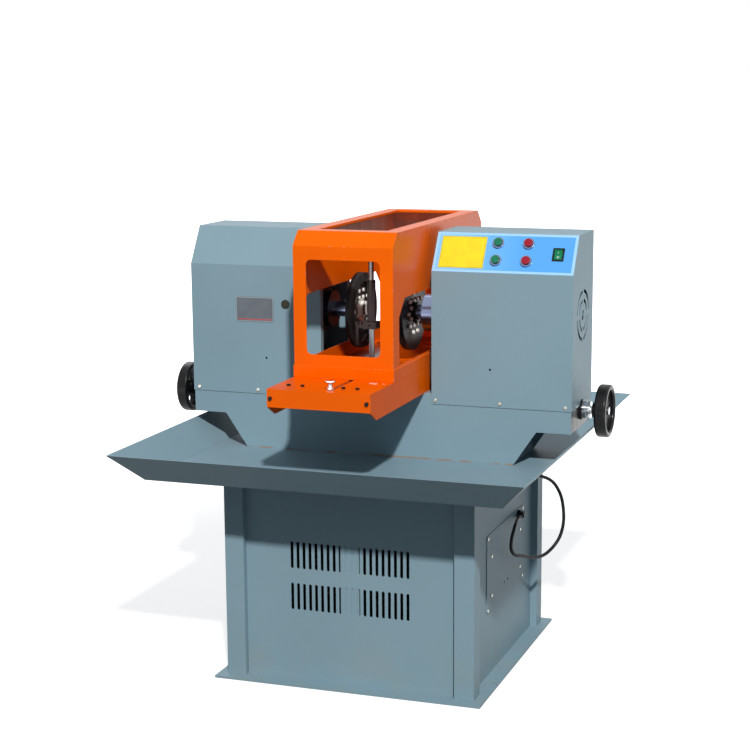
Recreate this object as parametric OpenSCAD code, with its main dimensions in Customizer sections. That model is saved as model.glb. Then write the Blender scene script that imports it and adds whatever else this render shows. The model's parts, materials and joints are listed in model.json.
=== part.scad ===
// Double disc surface grinder: two opposed wheel heads slide along a bed in a chip tray,
// and an orange hood on a feed table stands round the two grinding discs between them.
// All sizes are in millimetres. X runs along the spindles, Y to the back and Z up.
// The origin is on the floor, in the middle of the machine.

/* [Floor flange] */
// How far the floor flange stands out to the left and right of the cabinet
flange_out_x = 24; // [20:1:40]
// How far the floor flange stands out in front of and behind the cabinet
flange_out_y = 30; // [24:1:50]
// Thickness of the floor flange
flange_t = 6; // [4:1:12]
// Diameter of the four anchor holes
anchor_d = 12; // [8:1:14]
// Distance between anchor holes, front to back
anchor_pitch_y = 390; // [300:10:500]

/* [Cabinet] */
// Width of the cabinet over its corner posts
cab_w = 672; // [640:4:690]
// Depth of the cabinet over its corner posts
cab_d = 676; // [640:4:700]
// Height of the cabinet from the floor to the tray
cab_top_z = 560; // [520:5:620]
// Side of a square corner post
post_w = 52; // [40:2:60]
// How far the panels stand back from the posts
panel_recess = 19; // [10:1:25]
// Thickness of the sheet panels
panel_t = 2; // [1.5:0.5:3]
// Ventilation slots in a row
slot_cols = 20; // [10:1:22]
// Distance between ventilation slots
slot_pitch = 16.5; // [14:0.5:18]
// Width of a ventilation slot
slot_w = 8; // [5:0.5:10]
// Height of a ventilation slot
slot_h = 71; // [50:1:90]
// Height of the lower row of slots above the floor
slot_low_z = 227; // [200:1:260]
// Distance between the two rows of slots
slot_row_pitch = 110; // [100:1:130]

/* [Chip tray] */
// Width of the tray over its rim
tray_w = 1062; // [1040:2:1100]
// Depth of the tray over its rim
tray_d = 1200; // [1160:5:1260]
// How far the flared wall leans out
tray_flare = 70; // [50:2:80]
// Height of the tray
tray_h = 72; // [50:2:90]
// Thickness of the tray sheet
tray_t = 3; // [2:0.5:5]

/* [Bed] */
// Half length of the bed
bed_half = 520; // [510:2:540]
// Depth of the bed over its two side plates
bed_d = 216; // [210:2:216]
// Height of the bed over the cabinet
bed_h = 178; // [174:1:190]
// Thickness of the bed plates
bed_t = 8; // [6:1:12]
// Height of the spindle axis above the bed
spindle_h = 194; // [190:1:205]
// Depth of the feed screws below the bed's top
screw_drop = 40; // [38:1:44]

/* [Covers] */
// Gap between the feed table and the inner end of a cover
cover_table_gap = 19.5; // [16:0.5:26]
// How far the covers reach down over the bed's plates
cover_lap = 27; // [22:1:32]
// Height of a cover's top above the bed
cover_h = 412; // [400:2:440]
// Height of the sloping part at the front of a cover
slope_rise = 96; // [80:2:100]
// Depth of the sloping part
slope_run = 60; // [50:2:70]
// Thickness of the cover sheet
cover_t = 1.5; // [1:0.1:1.5]

/* [Hood and table] */
// Front of the hood
hood_front_y = -346; // [-360:2:-340]
// Back of the hood
hood_back_y = 417; // [400:2:420]
// Height of the hood above the table
hood_h = 363; // [350:1:390]
// Height and depth of the sloping edges at the hood's top
hood_slope = 35; // [25:1:40]
// Width of the inward flange round the hood's open top
hem_w = 40; // [30:1:50]
// Thickness of the hood sheet
hood_t = 2; // [1.5:0.5:3]
// Width of the front window
window_w = 193; // [180:1:200]
// Height of the front window's lower edge above the table
window_up = 59; // [45:1:70]
// Height of the front window
window_h = 235; // [220:1:245]
// Width of the feed table
table_w = 265; // [263:1:270]
// Front edge of the feed table
table_front_y = -518; // [-524:1:-515]
// How far the feed table reaches behind the hood
table_tail = 23; // [16:1:40]
// Room between the grinding discs and the table's top
disc_room = 25; // [22:1:28]
// Thickness of the table sheet
table_t = 4; // [3:0.5:4]

/* [Wheel heads] */
// Radius of the grinding discs
disc_r = 100; // [95:1:102]
// Thickness of the steel backing discs
disc_t = 8; // [7:0.5:12]
// Depth of the abrasive ring
ring_h = 10; // [8:1:14]
// Width of the abrasive ring
ring_w = 24; // [20:1:26]
// Distance from the left disc's back to the hood's side
left_wall_gap = 42.5; // [38:0.5:46]
// Distance from the right disc's back to the hood's side
right_wall_gap = 60.5; // [54:0.5:64]
// Radius of the spindles
spindle_r = 20; // [18:0.5:21]
// Radius of the motor frames
motor_r = 88; // [80:1:90]

/* [Handwheels] */
// Radius of the handwheels
wheel_r = 68; // [55:1:72]
// Width of the handwheel rim
wheel_rim_w = 31; // [24:1:34]
// How far the handwheels reach past the bed's ends
wheel_reach = 78; // [74:1:84]
// Radius of the feed screws
screw_r = 10; // [8:0.5:11]

/* [Work feed] */
// Sideways place of the feed slot in the table
feed_x = 22; // [20:1:24]
// Distance of the clamping knob from the table's front edge
knob_inset = 26; // [24:1:33]
// Place of the rest post, front to back
post_y = -200; // [-210:1:-190]
// Depth of the work ring's centre below the spindle axis
work_drop = 57; // [47:1:60]
// Diameter of the motor cable
cable_d = 9; // [8:0.5:10]

/* [Hidden] */

$fn = 64;
left = -1;
right = 1;
sides = [left, right];
cut = 1;            // overrun of every cut past the face that it opens
touch = 0.3;        // gap between sheets that lie on each other and between sliding faces
run_fit = 0.05;     // radial clearance of a shaft in its bore
seat_fit = 0.02;    // radial clearance of a pressed or clamped ring

paint = [0.42, 0.52, 0.56];
orange = [0.93, 0.34, 0.04];
black = [0.07, 0.07, 0.08];
steel = [0.62, 0.63, 0.65];
chrome = [0.82, 0.83, 0.85];
cast = [0.30, 0.33, 0.36];
zinc = [0.75, 0.76, 0.78];

// Floor flange
flange_band = 80;
flange_w = cab_w + 2 * flange_out_x;
flange_d = cab_d + 2 * flange_out_y;
anchor_inset = 12;
anchor_pitch_x = flange_w - 2 * anchor_inset;

// Heights that follow the bed
bed_top_z = cab_top_z + bed_h;
spindle_z = bed_top_z + spindle_h;
screw_z = bed_top_z - screw_drop;
table_top_z = spindle_z - disc_r - disc_room;

// Cabinet
post_wall = 3;
rail_h = 40;
rail_d = 30;
cab_in_w = cab_w - 2 * post_w;
cab_in_d = cab_d - 2 * post_w;
panel_y = cab_d / 2 - panel_recess;
panel_x = cab_w / 2 - panel_recess;
cab_h = cab_top_z - flange_t;
upright_w = 50;
upright_d = 30;

// Access cover in the right side panel, with the contactor plate behind it
access_w = 356;
access_h = 208;
access_y = 14;
access_z = 280;
access_r = 10;
access_lap = 20;
access_screw_inset = 8;
plate_pitch_y = 280;
plate_pitch_z = 105;
plate_drop = 11;
plate_shift = 4;
plate_z = access_z - plate_drop;
plate_y = access_y + plate_shift;
plate_lap = 11;
plate_t = 3;
spacer_r = 5;
spacer_h = 14;
plug_hole_r = 4;
plug_pitch_y = 35;
plug_shift = 6;
plug_y = access_y + plug_shift;
plug_z = plate_z - plate_pitch_z / 2;
contactor_size = [75, 45, 70];
relay_size = [60, 45, 50];
transformer_size = [70, 70, 62];
strip_size = [28, 150, 22];
screw_head_r = 4.5;
screw_head_h = 2.5;
screw_shank_r = 2.4;

// Cable, its two glands and its route between them
gland_y = 136;
gland_z = 371;
gland_nut_r = 11;
gland_nut_h = 8;
gland_dome_h = 14;
gland_dome_r = 8;
gland_thread_h = 10;
gland_elbow_inset = 3;
gland_elbow_x = cab_w / 2 - gland_elbow_inset;
gland_elbow_len = 15;
floor_gland_out = 16;
floor_gland_x = cab_w / 2 + floor_gland_out;
floor_gland_y = 84;
cable_sides = 10;
cable_route = [[333, 121, 371], [333, 110, 371], [334, 94, 372], [336, 76, 373], [338, 58, 374],
    [341, 39, 373], [343, 20, 370], [344, 4, 362], [343, -8, 349], [342, -15, 334],
    [342, -16, 318], [344, -9, 304], [348, 5, 293], [353, 26, 286], [358, 49, 279],
    [364, 75, 270], [372, 102, 262], [381, 130, 257], [391, 155, 258], [401, 175, 266],
    [411, 190, 279], [420, 199, 296], [426, 205, 317], [429, 208, 340], [429, 208, 364],
    [427, 206, 388], [423, 202, 411], [416, 194, 433], [407, 181, 453], [396, 163, 468],
    [384, 143, 478], [374, 126, 486], [366, 111, 495], [359, 99, 504], [354, 90, 514],
    [352, 85, 524], [352, 84, 531], [352, 84, 538]];

// Chip tray
tray_lean = tray_flare / tray_h;
tray_low_w = tray_w - 2 * tray_flare;
tray_low_d = tray_d - 2 * tray_flare;

// Bed
knee_in = 90;
knee_drop = 85;
knee_run = 61;
knee_x = bed_half - knee_in;
foot_x = knee_x - knee_run;
knee_z = bed_top_z - knee_drop;
bed_y = bed_d / 2;
bed_in_y = bed_y - bed_t;
bed_low_z = cab_top_z + tray_t;
rib_x = 184;
rib_t = 12;
deck_slot_spare = 6;
way_in = 36;
way_out = 72;
way_undercut = 8;
way_h = 22;
way_from = 186;
way_end_gap = 17;
way_to = bed_half - way_end_gap;
bracket_t = 15;
bracket_low_z = knee_z + touch;
bracket_boss_r = 26;
bracket_boss_h = 6.5;

// Covers
cover_gap = 0.5;
cover_in_x = table_w / 2 + cover_table_gap;
cover_y = bed_y + cover_gap + cover_t;
cover_d = 2 * cover_y;
cover_out_x = bed_half + cover_gap + cover_t;
cover_low_z = bed_top_z - cover_lap;
cover_top_z = bed_top_z + cover_h;
cover_lip = 18;
slope_tilt = atan2(slope_rise, slope_run);
slope_len = norm([slope_run, slope_rise]);
slope_low_z = cover_top_z - slope_rise;
cover_screw_up = 10;
cover_screw_z = cover_low_z + cover_screw_up;
cover_screw_shift = 3;
cover_screw_in = 10;
cover_screw_out = 17;
cover_screw_xs = [cover_in_x + cover_screw_in,
    (cover_in_x + cover_out_x) / 2 - cover_screw_shift, cover_out_x - cover_screw_out];
oil_hole_r = 3;
oil_hole_in = 156;
oil_hole_up = 97;
oil_hole_x = cover_in_x + oil_hole_in;
oil_hole_z = cover_low_z + oil_hole_up;
vent_radii = [62, 38];
vent_slot_w = 9;
vent_spoke_w = 12;
vent_core_r = 13;
vent_rise = 10;
nameplate_w = 108;
nameplate_h = 66;
nameplate_in = 187;
nameplate_up = 226;
nameplate_x = -cover_in_x - nameplate_in;
nameplate_z = cover_low_z + nameplate_up;
nameplate_t = 1;
nameplate_r = 5;
sight_r = 11.5;
sight_in = 99;
sight_up = 243;
sight_x = -cover_in_x - sight_in;
sight_z = cover_low_z + sight_up;
sight_h = 3;

// Control panel on the slope of the right cover, with places along X and up the slope
console_t = 1;
console_margin = 1;
notice_w = 118;
notice_edge = 12.1;
notice_inset = 15.5;
notice_h = slope_len - 2 * notice_edge;
notice_x = cover_in_x + notice_inset + notice_w / 2;
notice_v = slope_len / 2;
notice_t = 0.5;
control_from = notice_x + notice_w / 2;
control_w = cover_out_x - control_from;
start_across_share = 0.1332;
stop_across_share = 0.4672;
rocker_across_share = 0.8034;
upper_rise_share = 0.742;
lower_rise_share = 0.309;
start_x = control_from + start_across_share * control_w;
stop_x = control_from + stop_across_share * control_w;
upper_v = upper_rise_share * slope_len;
lower_v = lower_rise_share * slope_len;
bezel_r = 15;
bezel_floor_h = 2;
bezel_h = 6;
cap_r = 10.8;
cap_h = 6;
cap_gap = 0.3;
cap_travel = 3;
stem_r = 9;
barrel_hole_r = 11.3;
barrel_wall = 1.9;
barrel_depth = 16;
stem_depth = 11;
block_size = [30, 40, 26];
block_wall = 2;
rocker_x = control_from + rocker_across_share * control_w;
rocker_v = slope_len / 2;
rocker_w = 20;
rocker_h = 26;
rocker_gap = 1.3;
rocker_frame = 3.5;
rocker_flange = 2.5;
rocker_depth = 20;
rocker_tilt = 8;
rocker_rise = 4;
rocker_dip = 2;
rocker_keel = 9;
rocker_pivot = 3;

// Hood
hood_inset = 2;
hood_w = table_w - 2 * hood_inset;
hood_x = hood_w / 2;
hood_low_z = table_top_z;
hood_top_z = table_top_z + hood_h;
band_h = 30;
band_t = 2;
window_r = 13;
side_up = 35;
side_over = 72;
side_low_z = hood_low_z + side_up;
side_high_z = spindle_z + side_over;
side_front_inset = 46;
side_back_inset = 117;
side_front_y = hood_front_y + side_front_inset;
side_back_y = hood_back_y - side_back_inset;
side_chamfer = 44;
hem_t = 2;
hem_lip_h = 5;
liner_t = 1.5;
liner_drop = 6;
liner_h = 58;
liner_high_z = hood_top_z - liner_drop;
liner_low_z = liner_high_z - liner_h;

// Feed table
table_x = table_w / 2;
table_back_y = hood_back_y + table_tail;
table_lip_h = 45;
table_nose = 42;
rail_mid_x = -8.5;
rail_gap = 81.6;
rail_side_gap = 19.2;
rail_w = table_x - table_t - rail_side_gap + rail_mid_x - rail_gap / 2;
rail_bar_h = 16;
rail_lip_h = 4;
rail_lip_w = 12;
rail_inset = 12;
rail_front_gap = 18;
rail_tail = 24;
rail_screw_inset = 36;
rail_from_y = table_front_y + rail_front_gap;
rail_screw_front_y = rail_from_y + rail_screw_inset;
table_screw_r = 5;
table_screw_h = 4;
table_shank_r = 3;
lip_screw_inset = 9;
lip_screw_drop = 23;
lip_screw_x = table_x - lip_screw_inset;
lip_screw_z = table_top_z - lip_screw_drop;

// Work feed
feed_travel = 80;
bar_w = rail_gap - 2 * touch;
bar_front_gap = 12;
bar_tail = 30;
bar_from_y = table_front_y + bar_front_gap;
bar_to_y = post_y + bar_tail;
rail_screw_back_y = bar_to_y + feed_travel;
rail_to_y = rail_screw_back_y + rail_tail;
knob_y = table_front_y + knob_inset;
stem_bolt_r = 6;
slot_half_w = 6.5;
slot_from_y = knob_y;
slot_to_y = post_y + feed_travel;
slot_spare = 1;
knob_h = 24;
knob_base_r = 9;
knob_waist_r = 5;
knob_top_r = 12;
knob_foot_h = 7;
knob_cone_h = 8;
foot_w = 44;
foot_h = 18;
post_r = 7;
post_over = 168;
post_top_z = spindle_z + post_over;
collar_w = 34;
collar_drop = 17;
collar_low_z = spindle_z - collar_drop;
collar_h = 18;
sleeve_r = 11;
sleeve_over = 106;
sleeve_top_z = spindle_z + sleeve_over;
work_z = spindle_z - work_drop;
arm_t = 8;
work_ring_r = 15;
work_ring_bore_r = 9;
work_x = -14;
work_reach = 58;
work_y = post_y + work_reach;
arm_half_w = 8;
arm_back_y = post_y + arm_half_w;
arm_front_y = post_y - arm_half_w;

// Wheel heads: places along the spindle are measured outward from a disc's back face
hub_sleeve_h = 12;
nose_r = 15;
nose_len = 8;
left_drum_x = 67;
right_drum_x = 34;
drum_r = 49;
drum_gap = 4;
stock_x = 89;
stock_boss_len = 30;
stock_boss_r = 60;
stock_body_len = 80;
stock_half_w = 75;
stock_lip_t = 4;
stock_lip_r = 24;
bearing_r = 40;
bearing_w = 18;
motor_x = stock_x + stock_boss_len + stock_body_len;
shield_t = 14;
shield_step = 4;
shield_r = motor_r - shield_step;
fin_h = 6;
frame_root_r = motor_r - fin_h;
fin_count = 24;
fin_w = 3;
stator_bore_r = 50;
rotor_r = 49;
rotor_gap = 6;
tail_r = 12.5;
tail_bearing_r = 26;
tail_bearing_w = 12;
cowl_len = 30;
cowl_t = 2;
cowl_step = 2;
cowl_r = motor_r - cowl_step;
cowl_slot_rs = [58, 38];
cowl_slot_w = 8;
cowl_spoke_w = 10;
fan_r = 64;
fan_disc_t = 3;
fan_hub_r = 20;
fan_hub_h = 14;
fan_blades = 8;
fan_blade_t = 2;
fan_gap = 7;
head_in = 34;
head_out = 14;
left_gap = hood_x - left_wall_gap - disc_t - ring_h;
right_gap = hood_x - right_wall_gap - disc_t - ring_h;
motor_end_gap = 11.5;
frame_len = cover_out_x - cover_t - motor_end_gap - head_out - (hood_x - left_wall_gap)
    - motor_x - 2 * shield_t - cowl_len;
foot_inset = 6;
motor_foot_len = frame_len - 2 * foot_inset;
motor_foot_w = 140;
box_len_share = 0.53;
box_w = 56;
box_h = 46;
box_size = [box_len_share * frame_len, box_w, box_h];
box_y = 8;
saddle_from = 109;
saddle_tail = 30;
saddle_len = motor_x + shield_t + frame_len - foot_inset + saddle_tail - saddle_from;
saddle_half_w = 86;
saddle_h = 52;
saddle_top_z = bed_top_z + saddle_h;
slide_gap = 0.3;
nut_x = 230;
nut_len = 60;
nut_half_w = 22;
nut_drop = 22;
nut_low_z = screw_z - nut_drop;
outer_screws = 10;
outer_screw_inset = 22;
outer_screw_r = disc_r - ring_w - outer_screw_inset;
inner_screws = 8;
inner_screw_share = 0.36;
inner_screw_r = inner_screw_share * disc_r;
disc_screw_r = 3;
disc_screw_head_r = 5;
disc_screw_head_h = 4;
disc_nut_h = 6;
hub_sleeve_gap = 4.5;
hub_sleeve_r = inner_screw_r - disc_screw_head_r - hub_sleeve_gap;
hub_nut_h = 6;
hub_nut_r = 23;
hub_washer_r = 30;
hub_washer_h = 3;
ring_grooves = 3;
ring_groove_w = 2;
ring_groove_h = 1.5;

// Handwheels and feed screws
rim_t = 15;
rim_round = 6;
wheel_hub_r = 20;
wheel_hub_gap = 5.2;
wheel_web_t = 8;
wheel_web_inset = 12;
wheel_hole_share = 2 / 3;
wheel_hole_r = wheel_hole_share * (wheel_r - rim_t - wheel_hub_r) / 2;
wheel_holes = 3;
wheel_out_x = bed_half + wheel_reach;
thrust_collar_r = 16;
thrust_collar_h = 10;
dial_x = bed_half + bracket_boss_h + touch;
dial_len = 20;
dial_r = 22;
dial_groove = 2;
screw_tail = 4;
screw_from_x = rib_x - screw_tail;

function gap(side) = side < 0 ? left_gap : right_gap;
function back_x(side) = gap(side) + ring_h + disc_t;
function drum_x(side) = side < 0 ? left_drum_x : right_drum_x;
function nut_mid_x(side) = back_x(side) + nut_x;
function unit(v) = v / norm(v);

// Mirrors a piece of the right half to the left half
module on_side(side) {
    mirror([side < 0 ? 1 : 0, 0, 0]) children();
}

// Places a piece of a wheel head that is drawn outward from the disc's back face
module on_head(side) {
    on_side(side) translate([back_x(side), 0, spindle_z]) children();
}

// Turns a piece that is drawn up Z so that it points along X
module along_x() {
    rotate([0, 90, 0]) children();
}

module rod_x(r, from, to) {
    translate([from, 0, 0]) along_x() cylinder(r = r, h = to - from);
}

module hole_x(r, from, to) {
    rod_x(r, from - cut, to + cut);
}

module ring_x(r, bore, from, to) {
    difference() {
        rod_x(r, from, to);
        hole_x(bore, from, to);
    }
}

module rounded(w, h, r) {
    square([w - 2 * r, h], center = true);
    square([w, h - 2 * r], center = true);
    for (x = [-1, 1], y = [-1, 1])
        translate([x * (w / 2 - r), y * (h / 2 - r)]) circle(r = r);
}

module long_slot(w, h) {
    square([w, h - w], center = true);
    for (y = [-1, 1]) translate([0, y * (h - w) / 2]) circle(r = w / 2);
}

// Extrudes an outline that is drawn across and up so that it faces along Y
module facing_y(t) {
    rotate([90, 0, 0]) linear_extrude(height = t) children();
}

// Extrudes an outline that is drawn in depth and height along X
module facing_x(t) {
    rotate([90, 0, 90]) linear_extrude(height = t) children();
}

// Places a piece on the slope of the right cover: across, up the slope and out of it
module on_slope(x, v, out) {
    translate([0, -cover_y, slope_low_z]) rotate([slope_tilt, 0, 0])
        translate([x, v, out]) children();
}

module base_flange() {
    color(paint) difference() {
        translate([-flange_w / 2, -flange_d / 2, 0]) cube([flange_w, flange_d, flange_t]);
        translate([flange_band - flange_w / 2, flange_band - flange_d / 2, -cut])
            cube([flange_w - 2 * flange_band, flange_d - 2 * flange_band, flange_t + 2 * cut]);
        for (x = [-1, 1], y = [-1, 1])
            translate([x * anchor_pitch_x / 2, y * anchor_pitch_y / 2, -cut])
                cylinder(r = anchor_d / 2, h = flange_t + 2 * cut);
    }
}

module corner_post() {
    difference() {
        cube([post_w, post_w, cab_h]);
        translate([post_wall, post_wall, -cut])
            cube([post_w - 2 * post_wall, post_w - 2 * post_wall, cab_h + 2 * cut]);
    }
}

module cabinet_frame() {
    rail_y = panel_y - panel_t;
    rail_x = panel_x - panel_t;
    color(paint) union() {
        for (x = [0, 1], y = [0, 1])
            mirror([x, 0, 0]) mirror([0, y, 0])
                translate([cab_in_w / 2, cab_in_d / 2, flange_t]) corner_post();
        for (z = [flange_t, cab_top_z - rail_h]) {
            for (y = [0, 1]) mirror([0, y, 0])
                translate([-cab_in_w / 2, rail_y - rail_d, z]) cube([cab_in_w, rail_d, rail_h]);
            for (x = [0, 1]) mirror([x, 0, 0])
                translate([rail_x - rail_d, -cab_in_d / 2, z]) cube([rail_d, cab_in_d, rail_h]);
        }
        translate([-upright_w / 2, -rail_y, flange_t]) cube([upright_w, upright_d, cab_h]);
    }
}

// The slotted front sheet and the plain rear sheet of the cabinet
module front_rear_panels() {
    row_w = (slot_cols - 1) * slot_pitch;
    color(paint) translate([-cab_in_w / 2, panel_y - panel_t, flange_t])
        cube([cab_in_w, panel_t, cab_h]);
    color(paint) translate([0, panel_t - panel_y, 0]) facing_y(panel_t) difference() {
        translate([-cab_in_w / 2, flange_t]) square([cab_in_w, cab_h]);
        for (row = [0, 1], col = [0 : slot_cols - 1])
            translate([col * slot_pitch - row_w / 2, slot_low_z + row * slot_row_pitch])
                long_slot(slot_w, slot_h);
    }
}

module side_panels() {
    color(paint) {
        translate([-panel_x, -cab_in_d / 2, flange_t]) cube([panel_t, cab_in_d, cab_h]);
        translate([panel_x - panel_t, 0, 0]) facing_x(panel_t) difference() {
            translate([-cab_in_d / 2, flange_t]) square([cab_in_d, cab_h]);
            translate([access_y, access_z])
                rounded(access_w - 2 * access_lap, access_h - 2 * access_lap, access_r);
            translate([gland_y, gland_z]) circle(r = gland_dome_r);
            for (y = [-1, 1], z = [-1, 1])
                translate([access_y + y * (access_w / 2 - access_screw_inset),
                    access_z + z * (access_h / 2 - access_screw_inset)]) circle(r = screw_shank_r);
        }
    }
}

module access_cover() {
    color(paint) translate([panel_x, 0, 0]) facing_x(panel_t) difference() {
        translate([access_y, access_z]) rounded(access_w, access_h, access_r);
        translate([gland_y, gland_z]) circle(r = gland_dome_r);
        for (y = [-1, 1]) translate([plug_y + y * plug_pitch_y / 2, plug_z])
            circle(r = plug_hole_r);
        for (y = [-1, 1], z = [-1, 1]) {
            translate([access_y + y * (access_w / 2 - access_screw_inset),
                access_z + z * (access_h / 2 - access_screw_inset)]) circle(r = screw_shank_r);
            translate([plate_y + y * plate_pitch_y / 2, plate_z + z * plate_pitch_z / 2])
                circle(r = screw_shank_r);
        }
    }
}

// A pan head screw that points back along -Z, with its head's underside at the origin
module pan_screw(length) {
    rotate_extrude() {
        square([screw_head_r - screw_head_h / 2, screw_head_h]);
        square([screw_head_r, screw_head_h / 2]);
        translate([screw_head_r - screw_head_h / 2, screw_head_h / 2]) intersection() {
            circle(r = screw_head_h / 2);
            square(screw_head_h);
        }
        translate([0, -length]) square([screw_shank_r, length]);
    }
}

module panel_screws() {
    lap = cover_t + touch + bed_t / 2;
    color(zinc) {
        for (y = [-1, 1], z = [-1, 1]) {
            translate([panel_x + panel_t, access_y + y * (access_w / 2 - access_screw_inset),
                access_z + z * (access_h / 2 - access_screw_inset)])
                along_x() pan_screw(2 * panel_t);
            translate([panel_x + panel_t, plate_y + y * plate_pitch_y / 2,
                plate_z + z * plate_pitch_z / 2]) along_x() pan_screw(panel_t + spacer_h / 2);
        }
        for (side = sides, x = cover_screw_xs, back = [0, 1])
            mirror([0, back, 0]) translate([side * x, -cover_y, cover_screw_z])
                rotate([90, 0, 0]) pan_screw(lap);
    }
}

// A cable gland that points up Z, with its nut's underside at the origin
module gland() {
    rotate_extrude() difference() {
        union() {
            translate([0, -gland_thread_h]) square([gland_dome_r - touch, gland_thread_h]);
            square([gland_nut_r, gland_nut_h]);
            square([gland_dome_r, gland_nut_h + gland_dome_h]);
        }
        translate([0, -gland_thread_h - cut])
            square([cable_d / 2 + seat_fit, 2 * cut + gland_thread_h + gland_nut_h + gland_dome_h]);
    }
}

// The side gland is an elbow whose outlet points to the front, and the other one is straight
module cable_glands() {
    bore = cable_d / 2 + seat_fit;
    from = panel_x + panel_t;
    color(black) {
        translate([0, gland_y, gland_z]) difference() {
            union() {
                rod_x(gland_dome_r - touch, from - gland_thread_h, from + cut);
                rod_x(gland_nut_r, from, from + gland_nut_h);
                rod_x(gland_dome_r, from, gland_elbow_x);
                translate([gland_elbow_x, 0, 0]) {
                    sphere(r = gland_dome_r);
                    rotate([90, 0, 0]) cylinder(r = gland_dome_r, h = gland_elbow_len);
                }
            }
            hole_x(bore, from - gland_thread_h, gland_elbow_x - cut);
            translate([gland_elbow_x, 0, 0]) {
                sphere(r = bore);
                rotate([90, 0, 0]) cylinder(r = bore, h = gland_elbow_len + cut);
            }
        }
        translate([floor_gland_x, floor_gland_y, cab_top_z]) rotate([180, 0, 0]) gland();
    }
}

function cable_dir(i) = unit(cable_route[min(i + 1, len(cable_route) - 1)]
    - cable_route[max(i - 1, 0)]);
function carried(n, t) = unit(n - (n * t) * t);
cable_normals = [for (i = 0, n = carried([0, 0, 1], cable_dir(0)); i < len(cable_route);
    i = i + 1, n = carried(n, cable_dir(min(i, len(cable_route) - 1)))) n];

module motor_cable() {
    rings = len(cable_route);
    turn = 360 / cable_sides;
    points = [for (i = [0 : rings - 1], k = [0 : cable_sides - 1])
        cable_route[i] + cable_d / 2 * (cos(k * turn) * cable_normals[i]
            + sin(k * turn) * cross(cable_dir(i), cable_normals[i]))];
    walls = [for (i = [0 : rings - 2], k = [0 : cable_sides - 1], half = [0, 1])
        let (a = i * cable_sides + k, b = i * cable_sides + (k + 1) % cable_sides)
            half == 0 ? [a, a + cable_sides, b] : [b, a + cable_sides, b + cable_sides]];
    start = [for (k = [0 : cable_sides - 1]) k];
    end = [for (k = [cable_sides - 1 : -1 : 0]) (rings - 1) * cable_sides + k];
    color(black) polyhedron(points = points, faces = concat([start], walls, [end]));
}

module contactor_panel() {
    plate_w = plate_pitch_y + 2 * plate_lap;
    plate_h = plate_pitch_z + 2 * plate_lap;
    face_x = panel_x - spacer_h - plate_t;
    row_z = plate_z + plate_lap;
    color(zinc) {
        translate([face_x, plate_y - plate_w / 2, plate_z - plate_h / 2])
            cube([plate_t, plate_w, plate_h]);
        for (y = [-1, 1], z = [-1, 1])
            translate([0, plate_y + y * plate_pitch_y / 2, plate_z + z * plate_pitch_z / 2])
                ring_x(spacer_r, screw_shank_r, panel_x - spacer_h, panel_x);
    }
    color(black) {
        for (i = [0, 1]) {
            contactor_y = plate_y - plate_w / 2 + spacer_r + i * (contactor_size[1] + plate_lap);
            translate([face_x - contactor_size[0], contactor_y, row_z - contactor_size[2] / 2])
                cube(contactor_size);
        }
        translate([face_x - relay_size[0], plate_y, row_z - relay_size[2] / 2]) cube(relay_size);
        translate([face_x - transformer_size[0], plate_y + relay_size[1] + plate_lap,
            row_z - transformer_size[2] / 2]) cube(transformer_size);
    }
    color("gray") translate([face_x - strip_size[0], plate_y - strip_size[1] / 2,
        plate_z - plate_h / 2 + touch]) cube(strip_size);
}

// A solid whose walls lean out by the same amount on all four sides
module flared(w, d, h, lean) {
    intersection() {
        translate([0, d, 0]) facing_y(2 * d)
            polygon([[-w / 2, 0], [w / 2, 0], [w / 2 + lean, h], [-w / 2 - lean, h]]);
        translate([-w, 0, 0]) facing_x(2 * w)
            polygon([[-d / 2, 0], [d / 2, 0], [d / 2 + lean, h], [-d / 2 - lean, h]]);
    }
}

module chip_tray() {
    color(paint) difference() {
        translate([0, 0, cab_top_z]) flared(tray_low_w, tray_low_d, tray_t, tray_t * tray_lean);
        translate([floor_gland_x, floor_gland_y, cab_top_z - cut])
            cylinder(r = gland_dome_r, h = tray_t + 2 * cut);
    }
}

// The tray's flared walls, which stand on the edge of its floor
module tray_rim() {
    slant = norm([tray_flare, tray_h]);
    inset = tray_t * (slant - tray_flare) / tray_h + cut * tray_lean;
    wall_h = tray_h - tray_t;
    rise = wall_h + 2 * cut;
    color(paint) difference() {
        translate([0, 0, cab_top_z + tray_t]) flared(tray_low_w + 2 * tray_t * tray_lean,
            tray_low_d + 2 * tray_t * tray_lean, wall_h, wall_h * tray_lean);
        translate([0, 0, cab_top_z + tray_t - cut])
            flared(tray_low_w - 2 * inset, tray_low_d - 2 * inset, rise, rise * tray_lean);
    }
}

module bed_side() {
    polygon([[-bed_half, bed_top_z], [-bed_half, knee_z], [-knee_x, knee_z], [-foot_x, bed_low_z],
        [foot_x, bed_low_z], [knee_x, knee_z], [bed_half, knee_z], [bed_half, bed_top_z]]);
}

module bed_sides() {
    color(paint) for (back = [0, 1]) mirror([0, back, 0]) difference() {
        translate([0, bed_y, 0]) facing_y(bed_t) bed_side();
        for (side = sides, x = cover_screw_xs)
            translate([side * x, bed_y - bed_t / 2, cover_screw_z]) rotate([90, 0, 0])
                cylinder(r = screw_shank_r, h = bed_t + 2 * cut, center = true);
    }
}

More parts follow.
